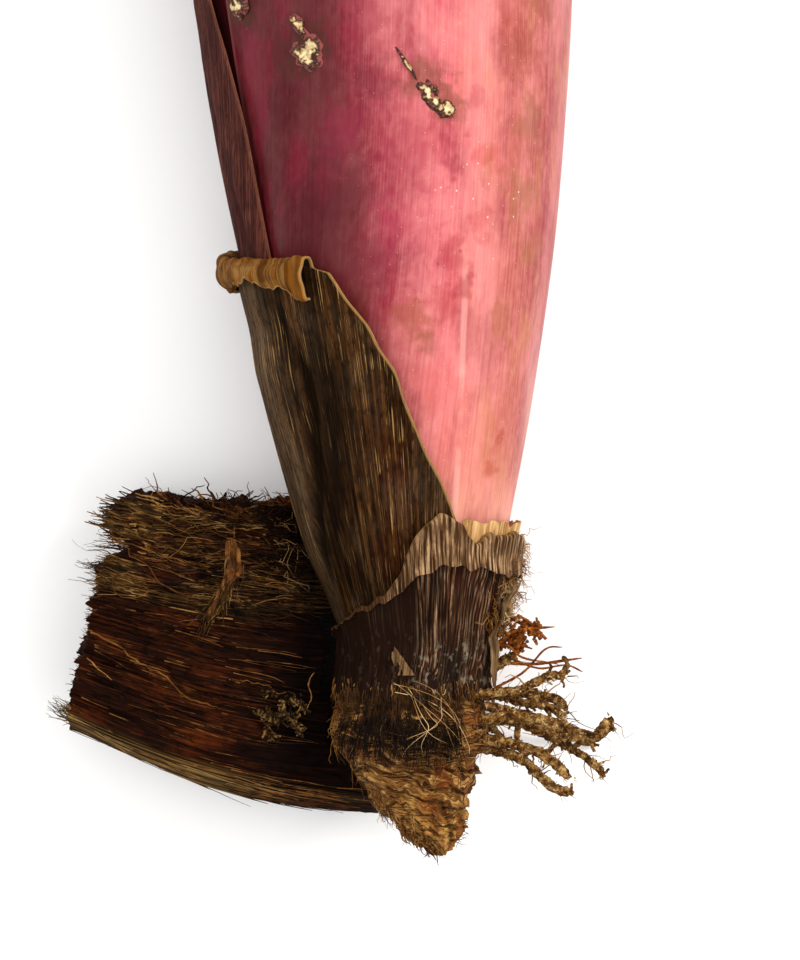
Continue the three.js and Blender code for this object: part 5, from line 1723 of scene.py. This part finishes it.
def husk_block():
    along_count, across_count, up_count = 165, 215, 34
    share, side, up = (np.linspace(0, 1, n) for n in (along_count, across_count, up_count))
    sheets = [
        (share[:, None], side[None, :], 1.0, "top"),
        (share[:, None], side[None, ::-1], 0.0, "under"),
        (share[:, None], 0.0, up[None, :], "skin"), (share[:, None], 1.0, up[None, ::-1], "frayed"),
        (0.0, side[:, None], up[None, :], "far"), (1.0, side[::-1, None], up[None, :], "near")]
    points, faces, uv, skin, gloom = [], [], [], [], []
    start = 0
    for a, b, c, kind in sheets:
        sheet = husk_point(a, b, c)
        rows, columns = sheet.shape[:2]
        sa, sb, sc = np.broadcast_arrays(a, b, c)
        faces += grid_faces(rows, columns, start)
        start += rows * columns
        points.append(flat_placed(sheet).reshape(-1, 3))
        ends = kind in ("far", "near")
        u = sb * HUSK_WIDTH if ends or kind in ("top", "under") else sc * HUSK_DEPTH
        v = sc * HUSK_DEPTH * END_GRAIN_STRETCH if ends else sa * HUSK_LENGTH
        uv.append(np.stack(np.broadcast_arrays(u, v), -1).reshape(-1, 2) / 1000)
        on_skin = np.ones(sa.shape) if kind == "skin" else smoothstep(
            0.035, 0.0, sb) * np.ones(sa.shape)
        skin.append(on_skin.ravel())
        # Painted shade: darker towards the end that the plant lies in and along the step down to
        # the frayed edge, carried in the `gloom` mark.
        painted_shade = (
            0.85 * smoothstep(0.46, 0.76, sa)
            + 0.35 * smoothstep(0.66, 0.74, sb) * smoothstep(0.95, 0.8, sb))
        gloom.append(np.clip(painted_shade * np.ones(sa.shape), 0, 0.85).ravel())
    piece = mesh_piece(
        "husk_block", np.concatenate(points), faces, FINISHES["husk"], np.concatenate(uv),
        {"skin": np.concatenate(skin), "gloom": np.concatenate(gloom)}, sharp=80)
    fix_normals(piece, weld=2e-6)
    show(piece, "husk", "husk")


husk_block()


def husk_fibres(
    name, finish, spots, long, wide, bow, sway, lift, seed, t=1.0, rightward=0.5, steps=7,
    bends=1.4, fan=0.0, sag=0.0):
    """Fibres that follow the husk's grain from (share, side) spots, with sway, lift and fan."""
    random = np.random.default_rng(seed)
    share, side = np.clip(spots, 0, 1).T
    count = len(share)
    height = random.uniform(*t, count) if isinstance(t, tuple) else np.full(count, t)
    at = husk_point(share, side, height)
    ahead = husk_point(np.minimum(share + 0.05, 1.05), side, height)
    grain = unit((ahead - at) * np.array([1, 1, 0.3]))
    sign = np.where(random.random(count) < rightward, 1.0, -1.0)[:, None]
    grow = grain * sign + random.normal(0, sway, (count, 3)) * np.array([0.5, 1, 0.6])
    grow[:, 1] += fan
    grow[:, 2] += random.uniform(*lift, count)
    at[:, 2] += 0.05
    piece = fibre_piece(
        name, flat_placed(at), grow, random.uniform(*long, count), random.uniform(*wide, count),
        FINISHES[finish], bow=bow, steps=steps, seed=seed, bends=bends, pull=(0, 0, -sag))
    show(piece, "husk")


def scattered(count, shares, sides, seed):
    random = np.random.default_rng(seed)
    return np.stack([random.uniform(*shares, count), random.uniform(*sides, count)], -1)


def tufted(tufts, each, spread, seed):
    """Spots gathered round each of some (share, side) middles."""
    random = np.random.default_rng(seed)
    middles = np.repeat(np.asarray(tufts, float), each, axis=0)
    return middles + random.normal(0, 1, middles.shape) * spread


husk_fibres(
    "husk_strands", "husk_strand",
    np.clip(tufted([(0.30, 0.34)], 300, (0.17, 0.18), 121), 0.03, 0.68), long=(4, 12),
    wide=(0.06, 0.18), bow=0.03, sway=0.05, lift=(0.0, 0.02), seed=121, rightward=1.0, sag=0.03)
husk_fibres(
    "husk_ledge", "husk_fray",
    tufted(scattered(24, (0.14, 0.80), (0.60, 0.76), 128), 22, (0.03, 0.012), 128), long=(5, 12),
    wide=(0.07, 0.20), bow=0.05, sway=0.07, lift=(0.0, 0.10), seed=128, sag=0.08)
husk_fibres(
    "husk_fray_dark", "husk_strand",
    tufted(scattered(38, (0.16, 0.95), (0.66, 0.98), 123), 26, (0.03, 0.014), 123), long=(4, 13),
    wide=(0.10, 0.26), bow=0.09, sway=0.16, lift=(0.0, 0.22), seed=123, rightward=0.3, sag=0.12)
husk_fibres(
    "husk_fray", "husk_fray",
    tufted(scattered(30, (0.17, 0.9), (0.70, 1.0), 122), 22, (0.025, 0.012), 122), long=(4, 10),
    wide=(0.08, 0.22), bow=0.10, sway=0.16, lift=(0.0, 0.26), seed=122, rightward=0.25, sag=0.12)
husk_fibres(
    "husk_upper_tuft", "husk_fray",
    tufted([(0.13, 0.97), (0.15, 0.93), (0.12, 0.88), (0.16, 0.85)], 60, (0.03, 0.012), 125),
    long=(4.5, 9), wide=(0.18, 0.46), bow=0.06, sway=0.09, lift=(0.0, 0.15), seed=125,
    rightward=0.0, fan=0.12, sag=0.1)
husk_fibres(
    "husk_upper_dark", "husk_strand",
    tufted([(0.14, 0.95), (0.16, 0.89), (0.15, 0.84)], 60, (0.04, 0.02), 129), long=(4.5, 8),
    wide=(0.18, 0.44), bow=0.06, sway=0.09, lift=(-0.1, 0.1), seed=129, t=(0.6, 1.0), rightward=0.0,
    fan=0.10, sag=0.1)
husk_fibres(
    "husk_middle_tuft", "husk_fray",
    tufted([(0.12, 0.72), (0.10, 0.68), (0.12, 0.64)], 50, (0.03, 0.014), 130), long=(4, 7.5),
    wide=(0.08, 0.22), bow=0.08, sway=0.10, lift=(0.0, 0.14), seed=130, rightward=0.0, sag=0.1)
husk_fibres(
    "husk_end_fringe", "husk_strand", scattered(420, (0.0, 0.02), (0.0, 1.0), 124), long=(0.8, 2.6),
    wide=(0.08, 0.22), bow=0.10, sway=0.22, lift=(-0.1, 0.2), seed=124, t=(0.3, 1.0), rightward=0.0)
husk_fibres(
    "husk_skin_strips", "husk_skin", tufted([(0.16, 0.008)], 330, (0.15, 0.006), 126), long=(6, 13),
    wide=(0.06, 0.20), bow=0.015, sway=0.015, lift=(-0.01, 0.02), seed=126, t=(0.3, 1.0),
    rightward=1.0)
husk_fibres(
    "husk_skin_dark", "husk_strand", tufted([(0.62, 0.012)], 320, (0.17, 0.010), 136), long=(6, 14),
    wide=(0.08, 0.24), bow=0.015, sway=0.02, lift=(-0.01, 0.02), seed=136, t=(0.3, 1.0),
    rightward=1.0)
husk_fibres(
    "husk_top_edge", "husk_strand",
    tufted(scattered(26, (0.15, 0.92), (0.96, 1.0), 137), 14, (0.02, 0.008), 137), long=(2, 6),
    wide=(0.10, 0.32), bow=0.2, sway=0.45, lift=(0.0, 0.5), seed=137, rightward=0.4, fan=0.25)
husk_fibres(
    "husk_skin_ends", "husk_skin", scattered(90, (0.0, 0.02), (0.0, 0.04), 131), long=(1.5, 6),
    wide=(0.06, 0.16), bow=0.12, sway=0.10, lift=(-0.05, 0.1), seed=131, t=(0.4, 1.0),
    rightward=0.0, fan=0.15)
husk_fibres(
    "husk_stray", "brown_hair", scattered(18, (0.04, 0.5), (0.58, 0.98), 127), long=(7, 14),
    wide=(0.05, 0.11), bow=0.30, sway=0.28, lift=(0.0, 0.3), seed=127, rightward=0.2, steps=16,
    bends=1.3, sag=0.15)
husk_fibres(
    "husk_rootlets", "pale_fibre", scattered(30, (0.55, 0.92), (0.68, 0.98), 132), long=(3, 10),
    wide=(0.06, 0.14), bow=0.34, sway=0.6, lift=(0.1, 0.6), seed=132, rightward=0.4, steps=16,
    bends=4.0, sag=0.3)
husk_fibres(
    "husk_rusty_tuft", "rusty_root",
    tufted([(0.70, 1.0), (0.78, 0.99), (0.92, 1.0)], 16, (0.03, 0.01), 133), long=(2.5, 6),
    wide=(0.12, 0.32), bow=0.20, sway=0.30, lift=(0.0, 0.6), seed=133, rightward=0.4, fan=0.5)


def husk_roots():
    """Old pale rootlets stuck to the husk's face."""
    lines = []
    for width, path in (
        (
            0.20,
            [(0.01, 0.39), (0.08, 0.38), (0.17, 0.34), (0.27, 0.31), (0.36, 0.26), (0.46, 0.25)]),
        (0.10, [(0.01, 0.27), (0.06, 0.25), (0.11, 0.22)]),
        (0.12, [(0.50, 0.36), (0.57, 0.37), (0.65, 0.35), (0.72, 0.345)]),
        (0.12, [(0.79, 0.43), (0.77, 0.38), (0.78, 0.33), (0.76, 0.29)]),
        (0.15, [(0.47, 0.995), (0.478, 0.95), (0.47, 0.91), (0.475, 0.86)])):
        share, side = curve_through([(a, b, 0) for a, b in path], 60)[:, :2].T
        wiggle = 0.006 * ripples(share * 60, 0.0, 151, size=1.6)
        spots = husk_point(share, side + wiggle, 1.0)
        spots[:, 2] += 0.25
        lines.append(((width, width * 0.7), flat_placed(spots)))
    tubes_piece(
        "husk_roots", lines, FINISHES["brown_hair"], "husk", knobs=0.12, knob_size=0.7, sides=6,
        step=0.4)


husk_roots()


def splinter():
    """A strip peeled off the husk's frayed edge, hanging over its front."""
    rows, columns = 70, 26
    t, u = np.linspace(0, 1, rows)[:, None], np.linspace(-1, 1, columns)[None, :]
    width = 0.95 * mix(0.7, 1.0, np.sin(math.pi * t)) * (
        1 + 0.22 * ripples(t[:, 0] * 6, 0.0, 131)[:, None])

    def path(t):
        return (along([(0, -30.2), (0.35, -29.4), (0.7, -31.6), (1, -34.0)], t), mix(57, 43.5, t),
                HUSK_DEPTH - 0.6 + 3.4 * np.sin(math.pi * np.minimum(t * 0.8 + 0.1, 1)))

    x0, y0, z0 = path(t)
    tear = ripples(u[0] * 5, 0.0, 132)[None, :] * smoothstep(0.6, 1, t)
    x, y = x0 + width * u, y0 + 0.25 * width * u + 1.1 * tear
    z = z0 + 0.7 * u ** 2 + 0.30 * ripples(u * 4, t * 3, 133)
    z = z + 0.16 * ripples(u * 11, t * 3, 135)
    middle = flat_placed(np.stack(np.broadcast_arrays(x, y, z), -1))
    piece = shell_piece(
        "splinter", middle, 0.6, FINISHES["bark_strip"], x + 0 * y, -y + 0 * x, {"edge": 9.0})
    show(piece, "husk", "husk_splinter")
    random = np.random.default_rng(134)
    count = 300
    s = random.uniform(0, 1, count) ** 0.7
    x, y, z = path(s)
    points = np.stack(
        [x + random.normal(0, 0.6, count), y, z + random.uniform(-0.4, 0.5, count)], -1)
    grow = np.array([-0.16, -1.0, 0.0]) + random.normal(0, 0.16, (count, 3))
    grow[:, 0] -= 0.35 * smoothstep(0.4, 1, s)
    fringe = fibre_piece(
        "splinter_fringe", flat_placed(points), grow, random.uniform(1.2, 4.6, count),
        random.uniform(0.07, 0.22, count), FINISHES["husk_fray"], bow=0.10, seed=13)
    show(fringe, "husk")


def moss():
    random = np.random.default_rng(141)
    count = 360
    knots = random.normal(0, 1.9, (26, 2)) * np.array([1.5, 1.1])
    off = knots[random.integers(0, len(knots), count)] + random.normal(0, 0.4, (count, 2))
    x, y = -21.6 + off[:, 0], 25.6 + off[:, 1]
    d = np.hypot(off[:, 0] / 1.5, off[:, 1])
    spots = np.stack(
        [x, y, HUSK_DEPTH - 0.6 - 0.12 * d ** 2 + random.uniform(-0.4, 0.9, count)], -1)
    grow = random.normal(0, 0.9, (count, 3)) + np.array([0, 0, 0.5])
    piece = fibre_piece(
        "moss_tuft", flat_placed(spots), grow, random.uniform(0.4, 1.3, count),
        random.uniform(0.12, 0.34, count), FINISHES["moss"], bow=0.25, steps=4, sides=5, tip=0.6,
        seed=14)
    show(piece, "moss", "moss")


splinter()
moss()


# ---------- floor, light and camera ----------
FLOOR_HALF_SIZE = 3.0
VIEW_MIDDLE = (0.0, 67.86, 36.0)
VIEW_DISTANCE, VIEW_HEIGHT, SENSOR_HEIGHT = 0.560, 0.1728, 24
AIM = (0.0, 75.0, 30.0)
LIGHTS = [  # where is in metres, aside and along from the aim and up from the floor
    dict(name="key", where=(0.62, 0.30, 0.62), size=0.30, power=5.4, color=(1.0, 0.98, 0.95)),
    dict(name="fill", where=(-0.60, 0.10, 0.70), size=0.7, power=2.4, color=(0.98, 0.99, 1.0)),
    dict(name="overhead", where=(0.1, 0.0, 1.3), size=1.1, power=7.5, color=(1.0, 1.0, 1.0)),
]
WORLD_STRENGTH = 0.66


def floor():
    material = Finish("floor").done(paint(253, 252, 251), 0.8)
    size = FLOOR_HALF_SIZE
    points = [(-size, -size, 0), (size, -size, 0), (size, size, 0), (-size, size, 0)]
    mesh_piece("floor", points, [(0, 1, 2, 3)], material)


def softbox(name, where, size, power, color):
    aim = flat_placed(AIM)
    place = Vector((aim[0] + where[0], aim[1] + where[1], where[2]))
    data = bpy.data.lights.new(name, "AREA")
    data.shape, data.size, data.energy, data.color = "DISK", size, power, color
    lamp = bpy.data.objects.new(name, data)
    lamp.location = place
    lamp.rotation_euler = (Vector(aim) - place).to_track_quat("-Z", "Y").to_euler()
    bpy.context.collection.objects.link(lamp)


def camera():
    """Looks straight down on the root end, close enough that the blades run off the top."""
    middle = flat_placed(VIEW_MIDDLE)
    data = bpy.data.cameras.new("camera")
    data.sensor_fit, data.sensor_height = "VERTICAL", SENSOR_HEIGHT
    data.lens = SENSOR_HEIGHT * VIEW_DISTANCE / VIEW_HEIGHT
    data.clip_start = 0.01
    made = bpy.data.objects.new("camera", data)
    made.location = (middle[0], middle[1], middle[2] + VIEW_DISTANCE)
    bpy.context.collection.objects.link(made)
    bpy.context.scene.camera = made


def surroundings():
    world = bpy.data.worlds.new("studio")
    world.use_nodes = True
    background = world.node_tree.nodes["Background"].inputs
    background["Color"].default_value = (1.0, 1.0, 1.0, 1.0)
    background["Strength"].default_value = WORLD_STRENGTH
    bpy.context.scene.world = world
    bpy.context.scene.view_settings.view_transform = "Standard"


floor()
for light in LIGHTS:
    softbox(**light)
camera()
surroundings()
